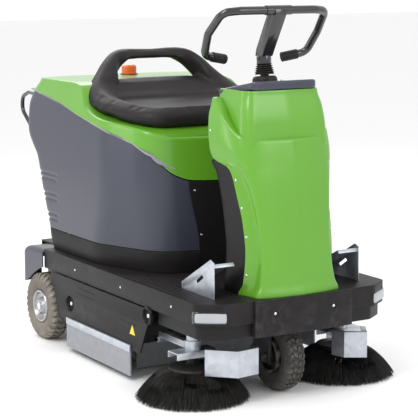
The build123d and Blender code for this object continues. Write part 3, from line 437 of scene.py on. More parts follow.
finishes = {
    "green_shell": dict(
        base=(0.118, 0.345, 0.016), deep=(0.072, 0.255, 0.013), scale=2.2, amount=0.6, rough=0.30,
        coat=0.3, coatRough=0.16, grain=1500, height=0.00003, dust=0.03, rub=0.15,
        rubColour=(0.32, 0.62, 0.16)),
    "grey_shell": dict(
        shine=0.40, base=(0.042, 0.045, 0.068), deep=(0.028, 0.031, 0.048), scale=2.0, amount=0.5,
        rough=0.36, coat=0.15, coatRough=0.2, grain=1300, height=0.00004, dust=0.04, rub=0.25,
        rubColour=(0.22, 0.23, 0.30)),
    "black_plastic": dict(
        shine=0.20, base=(0.012, 0.0105, 0.0115), deep=(0.006, 0.005, 0.0055), scale=6, amount=0.7,
        rough=0.44, coat=0.0, coatRough=0.3, grain=620, height=0.00018, dust=0.02, rub=0.5,
        rubColour=(0.050, 0.046, 0.048)),
    "gloss_black": dict(
        base=(0.012, 0.012, 0.013), deep=(0.006, 0.006, 0.007), scale=9, amount=0.5, rough=0.20, coat=0.6,
        coatRough=0.08, grain=1600, height=0.00002, dust=0.02, rub=0.3, rubColour=(0.06, 0.06, 0.06)),
    "painted_frame": dict(
        shine=0.25, base=(0.012, 0.012, 0.014), deep=(0.006, 0.006, 0.007), scale=8, amount=0.7,
        rough=0.36, coat=0.1, coatRough=0.3, grain=420, height=0.00008, dust=0.04, rub=0.8,
        rubColour=(0.16, 0.15, 0.14)),
    "zinc": dict(
        base=(0.48, 0.51, 0.56), deep=(0.33, 0.36, 0.42), scale=5, amount=0.5, rough=0.38, metal=0.8,
        sheet=True, height=0.00010, dust=0.05, rub=0.4, rubColour=(0.85, 0.87, 0.9)),
    "rim": dict(
        base=(0.42, 0.42, 0.44), deep=(0.24, 0.24, 0.25), scale=30, amount=0.6, rough=0.30, metal=0.9,
        grain=800, height=0.00006, dust=0.25, rub=0.4, rubColour=(0.85, 0.85, 0.86)),
    "bright_steel": dict(
        base=(0.72, 0.72, 0.74), deep=(0.52, 0.52, 0.54), scale=60, amount=0.5, rough=0.18, metal=1.0,
        grain=1500, height=0.00002, dust=0.03, rub=0.2, rubColour=(0.9, 0.9, 0.9)),
    "machine_parts": dict(
        base=(0.30, 0.31, 0.33), deep=(0.16, 0.17, 0.18), scale=20, amount=0.7, rough=0.42, metal=0.7,
        grain=520, height=0.00018, dust=0.2, rub=0.5, rubColour=(0.6, 0.6, 0.6)),
    "rear_tyre": dict(
        shine=0.35, base=(0.125, 0.110, 0.094), deep=(0.060, 0.053, 0.045), scale=26, amount=1.0,
        rough=0.78, grain=260, height=0.00045, dust=0.55, rub=0.6, rubColour=(0.30, 0.27, 0.22)),
    "front_tyre": dict(
        shine=0.35, base=(0.022, 0.021, 0.021), deep=(0.010, 0.010, 0.010), scale=24, amount=0.8,
        rough=0.62, grain=300, height=0.0004, dust=0.2, rub=0.5, rubColour=(0.10, 0.095, 0.09)),
    "rubber": dict(
        base=(0.270, 0.280, 0.310), deep=(0.200, 0.208, 0.232), scale=7, amount=0.6, rough=0.55,
        grain=500, height=0.00012, dust=0.2, rub=0.3, rubColour=(0.36, 0.37, 0.40)),
    "dark_rubber": dict(
        shine=0.25, base=(0.012, 0.0115, 0.0115), deep=(0.006, 0.006, 0.006), scale=10, amount=0.6,
        rough=0.50, grain=480, height=0.00018, dust=0.12, rub=0.4, rubColour=(0.08, 0.08, 0.08)),
    "bristle": dict(
        shine=0.30, base=(0.010, 0.009, 0.0085), deep=(0.004, 0.0035, 0.0035), scale=50, amount=1.0,
        rough=0.42, grain=900, height=0.00005, dust=0.02, rub=0.2, rubColour=(0.05, 0.045, 0.04)),
    "lamp_grey": dict(
        base=(0.40, 0.42, 0.45), deep=(0.28, 0.30, 0.33), scale=18, amount=0.6, rough=0.22, coat=0.6,
        coatRough=0.06, grain=340, height=0.00018, dust=0.02, rub=0.1, rubColour=(0.7, 0.7, 0.7)),
    "beacon_orange": dict(
        base=(0.85, 0.14, 0.012), deep=(0.60, 0.07, 0.006), scale=12, amount=0.6, rough=0.14, coat=0.5,
        coatRough=0.05, grain=500, height=0.00004, dust=0.02, rub=0.1, rubColour=(1, 0.4, 0.1)),
    "seat_foam": dict(
        shine=0.24, base=(0.017, 0.0145, 0.0155), deep=(0.009, 0.0075, 0.0082), scale=9, amount=0.8,
        rough=0.48, grain=430, height=0.00035, dust=0.03, rub=0.25, rubColour=(0.06, 0.055, 0.058)),
    "warning_yellow": dict(
        base=(0.85, 0.62, 0.02), deep=(0.70, 0.48, 0.015), scale=30, amount=0.4, rough=0.4, grain=1500,
        height=0.00002, dust=0.05, rub=0.3, rubColour=(0.9, 0.8, 0.4)),
}


def buildFinish(name, look):
    material = bpy.data.materials.new(name)
    material.use_nodes = True
    tree = material.node_tree
    shader = tree.nodes["Principled BSDF"]
    tone = useGroup(tree, toneGroup, Base=(*look["base"], 1), Deep=(*look["deep"], 1),
                    Scale=look["scale"], Amount=look["amount"])
    wear = useGroup(tree, wearGroup, Reach=look["rub"])
    dust = useGroup(tree, dustGroup, Amount=look["dust"])
    colour = mixColour(tree, wear.outputs["Mask"], tone.outputs["Color"], (*look["rubColour"], 1))
    colour = mixColour(tree, dust.outputs["Mask"], colour, (0.42, 0.38, 0.33, 1))
    if look.get("sheet"):
        sheet = useGroup(tree, brushedGroup)
        colour = mixColour(tree, calc(tree, "MULTIPLY", sheet.outputs["Flake"], 0.22), colour,
                           (0.82, 0.86, 0.92, 1))
        height = sheet.outputs["Height"]
    else:
        height = useGroup(tree, grainGroup, Scale=float(look["grain"])).outputs["Height"]
    tree.links.new(colour, shader.inputs["Base Color"])
    rough = calc(tree, "ADD", calc(tree, "MULTIPLY", tone.outputs["Tone"], 0.16), look["rough"] - 0.04)
    rough = calc(tree, "ADD", rough, calc(tree, "MULTIPLY", dust.outputs["Mask"], 0.4), clamp=True)
    tree.links.new(rough, shader.inputs["Roughness"])
    for label, key, usual in (("Metallic", "metal", 0.0), ("Specular IOR Level", "shine", 0.5),
                              ("Coat Weight", "coat", 0.0), ("Coat Roughness", "coatRough", 0.1)):
        shader.inputs[label].default_value = look.get(key, usual)
    bump = addNode(tree, "ShaderNodeBump")
    bump.inputs["Distance"].default_value = look["height"]
    bump.inputs["Strength"].default_value = 0.9
    tree.links.new(height, bump.inputs["Height"])
    tree.links.new(bump.outputs["Normal"], shader.inputs["Normal"])
    return material


materials = {name: buildFinish(name, look) for name, look in finishes.items()}
print("materials built")

nodeSlots = {entry["node"]: entry["material_slot"] for entry in frame["record"]["subparts"]}
nodeBodies = {node: body for body, nodes in frame["record"]["behaviour"]["bodies"].items() for node in nodes}
for node, carried in frame["nodes"].items():
    carried.data.materials.clear()
    carried.data.materials.append(materials[nodeSlots[node]])


def settle(piece, node, finish=None, replaced=True, alsoReplaced=()):
    # gives a new piece its finish, its body and the CAD pieces that it stands for
    piece.data.materials.clear()
    piece.data.materials.append(materials[finish or nodeSlots[node]])
    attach(piece, nodeBodies[node])
    if replaced:
        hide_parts(node, *alsoReplaced)


# the studio

studio = dict(camera=(-2.882, -4.920, 1.466), turn=(80.84, 0, -31.111), lens=132.98, floorHalf=30)
cameraData = bpy.data.cameras.new("camera")
cameraData.lens = studio["lens"]
cameraData.sensor_width = 36
camera = linked("camera", cameraData)
camera.location = studio["camera"]
camera.rotation_euler = [math.radians(a) for a in studio["turn"]]
bpy.context.scene.camera = camera

floorMesh = bpy.data.meshes.new("floor")
reach = studio["floorHalf"]
floorMesh.from_pydata([(-reach, -reach, 0), (reach, -reach, 0), (reach, reach, 0), (-reach, reach, 0)],
                      [], [(0, 1, 2, 3)])
floor = linked("floor", floorMesh)
floorLook = bpy.data.materials.new("pale floor")
floorLook.use_nodes = True
floorShader = floorLook.node_tree.nodes["Principled BSDF"]
floorShader.inputs["Base Color"].default_value = (0.93, 0.93, 0.93, 1)
floorShader.inputs["Roughness"].default_value = 0.85
floorMesh.materials.append(floorLook)

world = bpy.data.worlds.new("studio air")
world.use_nodes = True
air = world.node_tree.nodes["Background"]
air.inputs["Color"].default_value = (1.0, 1.0, 1.0, 1)
air.inputs["Strength"].default_value = 1.0
bpy.context.scene.world = world
bpy.context.scene.view_settings.view_transform = "Standard"

lamps = [
    dict(name="key", at=(-3.2, -1.6, 4.2), aim=(0, 0, 0.6), size=(1.2, 3.4), power=120),
    dict(name="front", at=(1.4, -4.6, 2.8), aim=(0, -0.3, 0.5), size=(2.4, 1.6), power=45),
    dict(name="rear", at=(0.8, 3.6, 3.4), aim=(0, 0.2, 0.7), size=(3.0, 1.6), power=60),
    dict(name="side", at=(-4.2, 1.6, 1.7), aim=(-0.2, 0.2, 0.6), size=(0.5, 2.6), power=22),
]
for lamp in lamps:
    light = bpy.data.lights.new(lamp["name"], "AREA")
    light.shape = "RECTANGLE"
    light.size, light.size_y = lamp["size"]
    light.energy = lamp["power"]
    lightObject = linked(lamp["name"], light)
    lightObject.location = lamp["at"]
    aim = Vector(lamp["aim"]) - Vector(lamp["at"])
    lightObject.rotation_mode = "QUATERNION"
    lightObject.rotation_quaternion = aim.to_track_quat("-Z", "Y")
print("studio ready")


# steering column: the green cowl with its shoulders, the head under the lid, and the black back

column = dict(
    # height, half width at the split, nose y, ridge x, ridge behind the nose, flank hollow
    levels=[(0.360, 0.186, -0.756, 0.166, 0.030, 0.004), (0.400, 0.182, -0.746, 0.150, 0.022, 0.010),
            (0.500, 0.176, -0.734, 0.138, 0.018, 0.012), (0.600, 0.178, -0.722, 0.142, 0.020, 0.013),
            (0.700, 0.184, -0.710, 0.154, 0.028, 0.012), (0.760, 0.192, -0.702, 0.168, 0.040, 0.008),
            (0.800, 0.203, -0.696, 0.182, 0.056, 0.000), (0.850, 0.208, -0.687, 0.188, 0.062, -0.006),
            (0.900, 0.206, -0.677, 0.186, 0.066, -0.008), (0.950, 0.200, -0.668, 0.180, 0.070, -0.008),
            (1.010, 0.182, -0.655, 0.162, 0.074, -0.006)],
    split=[(0.360, -0.640), (0.400, -0.664), (0.500, -0.670), (0.600, -0.656), (0.690, -0.627),
           (0.786, -0.596), (0.806, -0.510), (0.850, -0.490), (0.960, -0.473), (1.030, -0.466)],
    top=[(0.0, 0.874), (0.40, 0.876), (0.56, 0.890), (0.70, 0.926), (0.86, 0.978), (1.0, 1.004)],
    head=[(0.840, 0.172, -0.670), (0.925, 0.168, -0.664), (0.980, 0.162, -0.654), (1.038, 0.150, -0.640)],
    backY=[(0.360, -0.520), (0.500, -0.520), (0.600, -0.508), (0.700, -0.492), (0.760, -0.478),
           (0.820, -0.456), (0.880, -0.446), (0.980, -0.440), (1.034, -0.438)],
    # turned-in top edge of the cowl: how far in and how far up
    turnIn=((0.003, 0.003), (0.008, 0.005), (0.016, 0.006), (0.030, 0.004)),
    foot=0.360, backTall=0.674, headFoot=0.840, headTall=0.198, middleY=-0.56,
    wall=0.004, across=44, screws=(0.430, 0.560, 0.655, 0.745, 0.900))


def cowlPoint(share, z):
    half, nose, ridgeX, ridgeBack, hollow = readTable(column["levels"], z)
    splitY = readTable(column["split"], z)[0]
    ridgeY = nose + ridgeBack
    line = [Vector((0, nose, z)), Vector((ridgeX * 0.5, nose + ridgeBack * 0.16, z)),
            Vector((ridgeX * 0.86, nose + ridgeBack * 0.52, z)), Vector((ridgeX, ridgeY, z)),
            Vector(((ridgeX + half) / 2 - hollow, (ridgeY + splitY) / 2, z)), Vector((half, splitY, z))]
    return smoothLine(line, column["across"] + 1)[round(share * column["across"])]


def buildCowl():
    across, foot = column["across"], column["foot"]
    tops = [readTable(column["top"], c / across)[0] for c in range(across + 1)]
    rows = [[cowlPoint(c / across, foot + (tops[c] - foot) * r / 69) for c in range(across + 1)]
            for r in range(70)]
    rim = rows[-1]
    for inset, rise in column["turnIn"]:
        rows.append([p + Vector((-p.x, -0.55 - p.y, 0)).normalized() * inset + Vector((0, 0, rise))
                     for p in rim])
    cowl = outward(gridSkin("columnCowl", [bothSides(row) for row in rows]), (0, column["middleY"], 0.7))
    thicken(cowl, column["wall"])
    headRows = []
    for r in range(24):
        z = column["headFoot"] + column["headTall"] * r / 23
        half, nose = readTable(column["head"], z)
        back = readTable(column["split"], z)[0]
        line = roundedPath([Vector((0, nose, z)), Vector((half * 0.90, nose + 0.006, z)),
                            Vector((half, nose + 0.040, z)), Vector((half * 0.99, back, z))],
                           [0, 0.024, 0.030, 0])
        headRows.append(bothSides(evenly(line, 26)))
    head = outward(gridSkin("columnHead", headRows), (0, column["middleY"], 0.95))
    thicken(head, column["wall"])
    settle(cowl, "column_cowl")
    settle(head, "column_cowl")


def buildColumnBack():
    rows = []
    for r in range(60):
        z = column["foot"] + column["backTall"] * r / 59
        lobe = readTable(column["levels"], z)[0]
        head = readTable(column["head"], z)[0]
        half = (lobe if z < 0.80 else max(head, min(lobe, 0.19 - (z - 0.8) * 0.2))) - 0.003
        splitY, back = readTable(column["split"], z)[0] + 0.002, readTable(column["backY"], z)[0]
        back = max(back, splitY + 0.03)
        line = roundedPath([Vector((half, splitY, z)), Vector((half, back, z)), Vector((0, back + 0.004, z))],
                           [0, 0.04, 0])
        side = evenly(line, 24)
        rows.append(side + [flipped(p) for p in side[-2::-1]])
    back = outward(gridSkin("columnBack", rows), (0, column["middleY"], 0.7))
    settle(thicken(back, column["wall"]), "column_back")


buildCowl()
buildColumnBack()


# the lid of the dash, its collar round the post, and the rings of the key and the horn

lid = dict(corners=[(-0.127, -0.643), (0.127, -0.643), (0.155, -0.444), (-0.155, -0.444)], radius=0.026,
           top=[(-0.660, 1.074), (-0.400, 1.022)], low=[(-0.660, 1.044), (-0.400, 0.996)], round=0.008,
           bossRadius=0.040, middleY=-0.545, collarFoot=1.034, ringFoot=1.020)


def roundedLoop(corners, radius, steps=8):
    loop = []
    for i, corner in enumerate(corners):
        before, after = corners[i - 1], corners[(i + 1) % len(corners)]
        piece = roundedPath([(before + corner) / 2, corner, (corner + after) / 2], [0, radius, 0], steps)
        loop += piece[1:]
    return loop


def sloped(line, y):
    (y0, z0), (y1, z1) = line
    return z0 + (z1 - z0) * (y - y0) / (y1 - y0)


def steerPoint(z):
    steer = [j for j in frame["record"]["behaviour"]["joints"] if j["name"] == "steer"][0]
    axis, pivot = Vector(steer["axis"]).normalized(), Vector(steer["pos_m"])
    return pivot + axis * ((z - pivot.z) / axis.z), axis


def buildLid():
    corners = lid["corners"]
    start = Vector(((corners[3][0] + corners[0][0]) / 2, (corners[3][1] + corners[0][1]) / 2, 0))
    loop = roundedLoop([Vector((x, y, 0)) for x, y in corners], lid["radius"]) + [start]
    loop = evenly(loop, 97)[:96]
    centre, axis = steerPoint(1.05)
    middle = Vector((0, lid["middleY"], 0))
    edge = lid["round"]
    rings = []
    for line, side in ((lid["low"], 1), (lid["top"], -1)):
        for k in range(7):
            fromEdge, fromFace = quarter(k, 6)
            inset, lift = (fromFace, fromEdge) if side == 1 else (fromEdge, fromFace)
            ring = []
            for p in loop:
                q = p + (middle - p).normalized() * (edge * inset)
                ring.append(Vector((q.x, q.y, sloped(line, q.y) + side * edge * lift)))
            rings.append(ring)
    last = rings[-1]
    for k in range(1, 7):
        ring = []
        for p in last:
            away = Vector((p.x - centre.x, p.y - centre.y, 0)).normalized()
            goal = Vector((centre.x, centre.y, 0)) + away * lid["bossRadius"]
            q = Vector((p.x, p.y, 0)).lerp(goal, k / 6)
            ring.append(Vector((q.x, q.y, sloped(lid["top"], q.y))))
        rings.append(ring)
    skin = outward(gridSkin("dashLid", rings, closed=True), (0, lid["middleY"], 1.02))
    settle(thicken(skin, 0.003, 0), "dash_cap")
    foot = steerPoint(lid["collarFoot"])[0]
    collar = lathe("dashCollar", [(0, 0.043), (0.030, 0.043), (0.036, 0.0415), (0.041, 0.038), (0.043, 0.033),
                                  (0.043, 0.019), (0.036, 0.019), (0, 0.019), (0, 0.043)], foot, axis, 72)
    settle(collar, "dash_cap", "black_plastic")
    rings = []
    for node, hole in (("ignition_key", 0.0056), ("horn_button", 0.0096)):
        spot = nodeMiddle(node)[0]
        outer = hole + 0.006
        profile = [(0, outer), (0.012, outer), (0.0145, outer - 0.0015), (0.0145, hole), (0, hole),
                   (0, outer)]
        rings.append(lathe("bezel", profile, (spot.x, spot.y, lid["ringFoot"]), (0, 0, 1), 48))
    settle(joined("dashBezels", rings), "dash_cap", "gloss_black")


# screws: distance along the axis and radius, for each kind, with its number of sides

screwForms = dict(
    cowl=(20, [(-0.002, 0.0042), (0.0012, 0.0042), (0.0020, 0.0030), (0.0022, 0.0)]),
    knob=(36, [(-0.0125, 0.0085), (-0.007, 0.0085), (-0.005, 0.0070), (-0.0044, 0.0040),
               (-0.0060, 0.0036), (-0.0060, 0.0)]),
    strip=(24, [(-0.001, 0.0046), (0.0012, 0.0046), (0.0022, 0.0034), (0.0024, 0.0)]),
    bumper=(28, [(-0.001, 0.0062), (0.0015, 0.0062), (0.0028, 0.0048), (0.0030, 0.0)]),
    panel=(24, [(-0.001, 0.0040), (0.0012, 0.0040), (0.0020, 0.0030), (0.0022, 0.0)]))


def screw(form, spot, axis):
    steps, profile = screwForms[form]
    return lathe("screw", profile, spot, axis, steps)


def buildCowlScrews():
    # small bright screws along the seam of the cowl, seated on its skin
    cowl = bpy.data.objects["columnCowl"]
    parts = []
    for z in column["screws"]:
        half = readTable(column["levels"], z)[0]
        splitY = readTable(column["split"], z)[0]
        for side in (-1, 1):
            spot, normal = cowl.closest_point_on_mesh(Vector((side * half, splitY - 0.013, z)))[1:3]
            if normal.dot(Vector((side, 0, 0))) < 0:
                normal = -normal
            parts.append(screw("cowl", spot, normal))
    settle(joined("cowlScrews", parts), "column_back", "bright_steel", replaced=False)


buildLid()
buildCowlScrews()
print("column built")


# upper body: one outline by height, cut into plinth, sides, front panel and hood

body = dict(
    # height, half width, where the side turns in, front corner x and y, nose y
    levels=[(0.360, 0.350, 0.080, 0.240, -0.225, -0.262), (0.440, 0.354, 0.060, 0.250, -0.225, -0.268),
            (0.700, 0.364, -0.010, 0.292, -0.228, -0.284), (0.900, 0.362, -0.010, 0.288, -0.232, -0.286),
            (1.020, 0.330, -0.010, 0.280, -0.240, -0.280)],
    rear=[(0.359, 0.478), (0.440, 0.500), (0.600, 0.548), (0.712, 0.584), (0.760, 0.630), (0.800, 0.660),
          (0.832, 0.666), (0.900, 0.656), (0.968, 0.640), (1.002, 0.612), (1.016, 0.590)],
    seam=[(-0.400, 0.690), (-0.295, 0.692), (-0.258, 0.697), (-0.236, 0.745), (-0.220, 0.786),
          (-0.144, 0.828), (-0.003, 0.868), (0.149, 0.893), (0.358, 0.934), (0.640, 0.968), (0.700, 0.972)],
    top=[(-0.400, 0.848), (-0.240, 0.852), (-0.200, 0.872), (-0.136, 0.885), (0.060, 0.907), (0.150, 0.934),
         (0.236, 1.008), (0.300, 1.016), (0.578, 1.014), (0.620, 1.000), (0.700, 0.985)],
    frontHalf=[(0.360, 0.104), (0.440, 0.104), (0.700, 0.150), (0.900, 0.150)],
    foot=0.3605, plinthTop=0.440, wall=0.004, gap=0.0045, rearHalf=0.262, topRadius=0.010,
    grooves=dict(heights=(0.478, 0.498, 0.556, 0.576, 0.634, 0.654), depth=0.0045, reach=(0.375, 0.50)))


def bodyOutline(z, count):
    half, sideY, cornerX, cornerY, nose = readTable(body["levels"], z)
    rear = readTable(body["rear"], z)[0]
    line = roundedPath([Vector((0, rear + 0.002, z)), Vector((half, rear, z)), Vector((half, sideY, z)),
                        Vector((cornerX, cornerY, z)), Vector((0, nose, z))],
                       [0, 0.055, 0.24, 0.150, 0], steps=18)
    return evenly(line, count)


# the outline is read many times, so each height is worked out once, in steps of half a millimetre

outlineCount = 160
outlineCache = {}


def bodyPoint(share, z):
    step = round(z * 2000)
    if step not in outlineCache:
        outlineCache[step] = bodyOutline(step / 2000, outlineCount)
    line = outlineCache[step]
    place = share * (outlineCount - 1)
    i = min(int(place), outlineCount - 2)
    p = line[i].lerp(line[i + 1], place - i)
    return Vector((p.x, p.y, z))


def seamHeight(share):
    z = 0.85
    for step in range(14):
        z = z * 0.4 + 0.6 * readTable(body["seam"], bodyPoint(share, z).y)[0]
    return z


def shareWhere(z, test):
    # the share of the outline, from the rear's middle, at which the test first holds
    low, high = 0.0, 1.0
    for step in range(22):
        middle = (low + high) / 2
        if test(bodyPoint(middle, z)):
            high = middle
        else:
            low = middle
    return low


def bodyStrip(name, fromShare, toShare, fromZ, toZ, across, up, shape=None):
    rows = []
    for r in range(up):
        row = []
        for c in range(across):
            t, v = c / (across - 1), r / (up - 1)
            middleZ = 0.5
            for step in range(5):
                share = fromShare(middleZ) * (1 - t) + toShare(middleZ) * t
                low = fromZ(share)
                middleZ = low + (toZ(share) - low) * v
            p = bodyPoint(share, middleZ)
            if shape:
                p = shape(p, share)
            row.append(p)
        rows.append(row)
    return outward(gridSkin(name, rows), (0, 0.15, 0.6))


def frontShare(z):
    edge = readTable(body["frontHalf"], z)[0]
    return shareWhere(z, lambda p: p.y < 0 and p.x < edge)


def rearShare(z):
    return shareWhere(z, lambda p: p.x > body["rearHalf"])


def cachedByHeight(rule):
    known = {}

    def read(z):
        step = round(z * 200)
        for n in (step, step + 1):
            if n not in known:
                known[n] = rule(n / 200)
        t = z * 200 - step
        return known[step] * (1 - t) + known[step + 1] * t if t >= 0 else known[step]
    return read


frontEdge = cachedByHeight(frontShare)
rearEdge = cachedByHeight(rearShare)
seamCache = [seamHeight(n / 200) for n in range(201)]


def seamAt(share):
    place = min(max(share, 0), 1) * 200
    i = min(int(place), 199)
    return seamCache[i] * (1 - place + i) + seamCache[i + 1] * (place - i)


def grooved(p, share):
    # the pairs of short grooves at the rear corner
    cut = body["grooves"]
    near = max(0.0, 1 - min(abs(p.z - h) for h in cut["heights"]) / 0.007)
    ends = min(1.0, max(0.0, (p.y - cut["reach"][0]) / 0.02)) if p.y < cut["reach"][1] + 0.2 else 0.0
    depth = cut["depth"] * near * near * (3 - 2 * near) * ends
    return Vector((p.x - depth, p.y - depth * 0.4, p.z))


def buildSides():
    gap = body["gap"]
    side = bodyStrip("bodySide", rearEdge, frontEdge, lambda s: body["plinthTop"] + 0.001,
                     lambda s: seamAt(s) - gap, 110, 120, shape=grooved)
    thicken(side, body["wall"])
    other = mirrored("bodySideOther", side)
    settle(joined("bodySides", [side, other]), "body_sides")


def buildPlinth():
    def swollen(p, share):
        away = Vector((p.x, 0, 0)).normalized() if abs(p.x) > 0.2 else Vector((0, -1, 0))
        lip = 0.004 * math.sin(math.pi * min(1, (p.z - 0.36) / 0.08))
        return p + away * lip

    def foot(share):
        return body["foot"]

    def top(share):
        return body["plinthTop"] - 0.001

    side = bodyStrip("plinthSide", rearEdge, frontEdge, foot, top, 90, 12, shape=swollen)
    rear = bodyStrip("plinthRear", lambda z: 0.0, rearEdge, foot, top, 20, 6)
    thicken(side, body["wall"])
    thicken(rear, body["wall"])
    parts = [side, mirrored("plinthOther", side), rear, mirrored("plinthRearOther", rear)]
    settle(joined("bodyPlinth", parts), "body_plinth")


def buildFrontPanel():
    half = bodyStrip("frontHalf", frontEdge, lambda z: 1.0, lambda s: body["foot"],
                     lambda s: seamAt(s) - body["gap"], 26, 50)
    thicken(half, body["wall"])
    settle(joined("frontPanel", [half, mirrored("frontOther", half)]), "front_panel")


def buildHood():
    radius = body["topRadius"]
    columns = []
    for n in range(140):
        share = n / 139
        low = seamAt(share)
        line = []
        for k in range(22):
            z = low
            for step in range(4):
                top = readTable(body["top"], bodyPoint(share, z).y)[0] - radius
                z = low + (max(top, low + 0.004) - low) * k / 21
            line.append(bodyPoint(share, z))
        edge = line[-1]
        spine = Vector((0, min(max(edge.y, -0.06), 0.44), edge.z))
        reach = (spine - edge).length
        for k in range(1, 7):
            inset, drop = quarter(k, 6)
            p = edge.lerp(spine, min(1, radius * inset / reach))
            line.append(Vector((p.x, p.y, readTable(body["top"], p.y)[0] - radius * drop)))
        start = radius / reach
        for k in range(1, 11):
            p = edge.lerp(spine, start + (1 - start) * k / 10)
            crown = 0.006 * math.sin(math.pi / 2 * k / 10)
            line.append(Vector((p.x, p.y, readTable(body["top"], p.y)[0] + crown)))
        columns.append(line)
    half = outward(gridSkin("hoodHalf", transposed(columns)), (0, 0.15, 0.8))
    thicken(half, body["wall"])
    settle(joined("hoodShell", [half, mirrored("hoodOther", half)]), "hood")


buildSides()
buildPlinth()
buildFrontPanel()
buildHood()
print("body built")


# what keeps its CAD shape, with its edges rounded

rounded = dict(deck_tray=0.007, front_bumper=0.004, skirt_rails=0.0016,
               pedal_frames=0.0008, foot_pedal_right=0.0014, foot_pedal_left=0.0014, brush_guard_right=0.0010,
               brush_guard_left=0.0010, brush_arm_right=0.0012, brush_arm_left=0.0012, wheel_fork=0.0018,
               bar_post=0.005, rear_panel=0.0012, chassis_frame=0.0015, hopper=0.0015, battery_pack=0.004,
               brush_tunnel=0.0010, horn_button=0.0015, ignition_key=0.0008, hood_knuckles=0.0008,
               hinge_leaves=0.0008)
for node, width in rounded.items():
    settle(softened(node, node + "Rounded", width), node)
print("rounded pieces built")


# seat: one skin over the front roll, the wings, the arch and the two pads between them

seat = dict(
    voxel=0.006, pressure=4.0, cap=0.006, smoothing=9, stiffness=40, bending=6, frames=20,
    # x, y, z, half width, half height of the roll that runs round the seat, from the arch's middle
    roll=[(0.000, 0.297, 1.113, 0.022, 0.023), (0.090, 0.296, 1.112, 0.024, 0.024),
          (0.146, 0.290, 1.100, 0.040, 0.028), (0.188, 0.274, 1.066, 0.054, 0.032),
          (0.226, 0.244, 1.018, 0.066, 0.036), (0.262, 0.200, 0.980, 0.060, 0.036),
          (0.288, 0.120, 0.948, 0.048, 0.033), (0.292, 0.000, 0.932, 0.042, 0.031),
          (0.276, -0.090, 0.921, 0.040, 0.032), (0.236, -0.158, 0.915, 0.038, 0.033),
          (0.160, -0.176, 0.914, 0.037, 0.034), (0.000, -0.178, 0.914, 0.037, 0.034)],
    # y, z and half width of the two pads, and how thick each is
    pads=[[(0.285, 1.006, 0.160, 0.026), (0.245, 1.006, 0.205, 0.030), (0.205, 0.992, 0.250, 0.036),
           (0.160, 0.962, 0.275, 0.040), (0.120, 0.946, 0.285, 0.034)],
          [(0.180, 0.950, 0.280, 0.026), (0.090, 0.934, 0.285, 0.030), (-0.020, 0.922, 0.280, 0.032),
           (-0.110, 0.914, 0.250, 0.030), (-0.160, 0.910, 0.215, 0.028)]])


def rollTube(name, line):
    rows = []
    for i, (x, y, z, wide, tall) in enumerate(line):
        ahead = Vector(line[min(i + 1, len(line) - 1)][:3]) - Vector(line[max(i - 1, 0)][:3])
        side = ahead.cross(Vector((0, 0.35, 1))).normalized()
        up = side.cross(ahead).normalized()
        rows.append([Vector((x, y, z)) + side * wide * math.cos(turn) + up * tall * math.sin(turn)
                     for turn in turns(20)])
    return cleaned(gridSkin(name, rows, closed=True), fill=True)


def padSlab(name, stations):
    # a closed slab with rounded sides along the stations
    rows = []
    for i, (y, z, half, thick) in enumerate(stations):
        before, after = stations[max(i - 1, 0)], stations[min(i + 1, len(stations) - 1)]
        along = Vector((0, after[0] - before[0], after[1] - before[1])).normalized()
        up = Vector((1, 0, 0)).cross(along)
        if up.z < 0:
            up = -up
        ring = []
        for turn in turns(32):
            wide = math.copysign(abs(math.cos(turn)) ** 0.35, math.cos(turn))
            high = math.copysign(abs(math.sin(turn)) ** 0.6, math.sin(turn))
            ring.append(Vector((half * wide, y, z)) + up * thick / 2 * high)
        rows.append(ring)
    return cleaned(gridSkin(name, rows, closed=True), fill=True)


def inflate(piece):
    # the padding pushes the skin out, held within the cap
    start = [v.co.copy() for v in piece.data.vertices]
    cloth = piece.modifiers.new("skin", "CLOTH")
    cloth.settings.quality = 4
    cloth.settings.mass = 0.4
    cloth.settings.tension_stiffness = seat["stiffness"]
    cloth.settings.compression_stiffness = seat["stiffness"]
    cloth.settings.bending_stiffness = seat["bending"]
    cloth.settings.use_pressure = True
    cloth.settings.uniform_pressure_force = seat["pressure"]
    cloth.settings.effector_weights.gravity = 0
    cloth.point_cache.frame_start, cloth.point_cache.frame_end = 1, seat["frames"]
    scene = bpy.context.scene
    for step in range(1, seat["frames"] + 1):
        scene.frame_set(step)
    applyModifiers(piece)
    scene.frame_set(1)
    for vertex, before in zip(piece.data.vertices, start):
        move = vertex.co - before
        if move.length > seat["cap"]:
            vertex.co = before + move.normalized() * seat["cap"]


def buildSeat():
    keys = [Vector(station[:3]) for station in seat["roll"]]
    line = []
    for p in smoothLine(keys, 60):
        order = sorted(range(len(keys)), key=lambda i: (keys[i] - p).length)
        a, b = order[:2]
        near, far = (p - keys[a]).length, (p - keys[b]).length
        share = near / max(1e-6, near + far)
        sizes = [seat["roll"][a][n] * (1 - share) + seat["roll"][b][n] * share for n in (3, 4)]
        line.append((p.x, p.y, p.z, *sizes))
    parts = [rollTube("roll", line), rollTube("rollOther", [(-x, y, z, w, t) for x, y, z, w, t in line])]
    parts += [padSlab("pad", stations) for stations in seat["pads"]]
    piece = joined("seatSkin", parts)
    remesh = piece.modifiers.new("even", "REMESH")
    remesh.mode = "VOXEL"
    remesh.voxel_size = seat["voxel"]
    soften = piece.modifiers.new("soft", "SMOOTH")
    soften.factor = 0.5
    soften.iterations = seat["smoothing"]
    applyModifiers(piece)
    inflate(piece)
    subdivide = piece.modifiers.new("fine", "SUBSURF")
    subdivide.levels = subdivide.render_levels = 1
    smoothed(applyModifiers(piece))
    settle(piece, "seat_cushion", alsoReplaced=("seat_backrest",))


buildSeat()
print("seat built")


# wheels

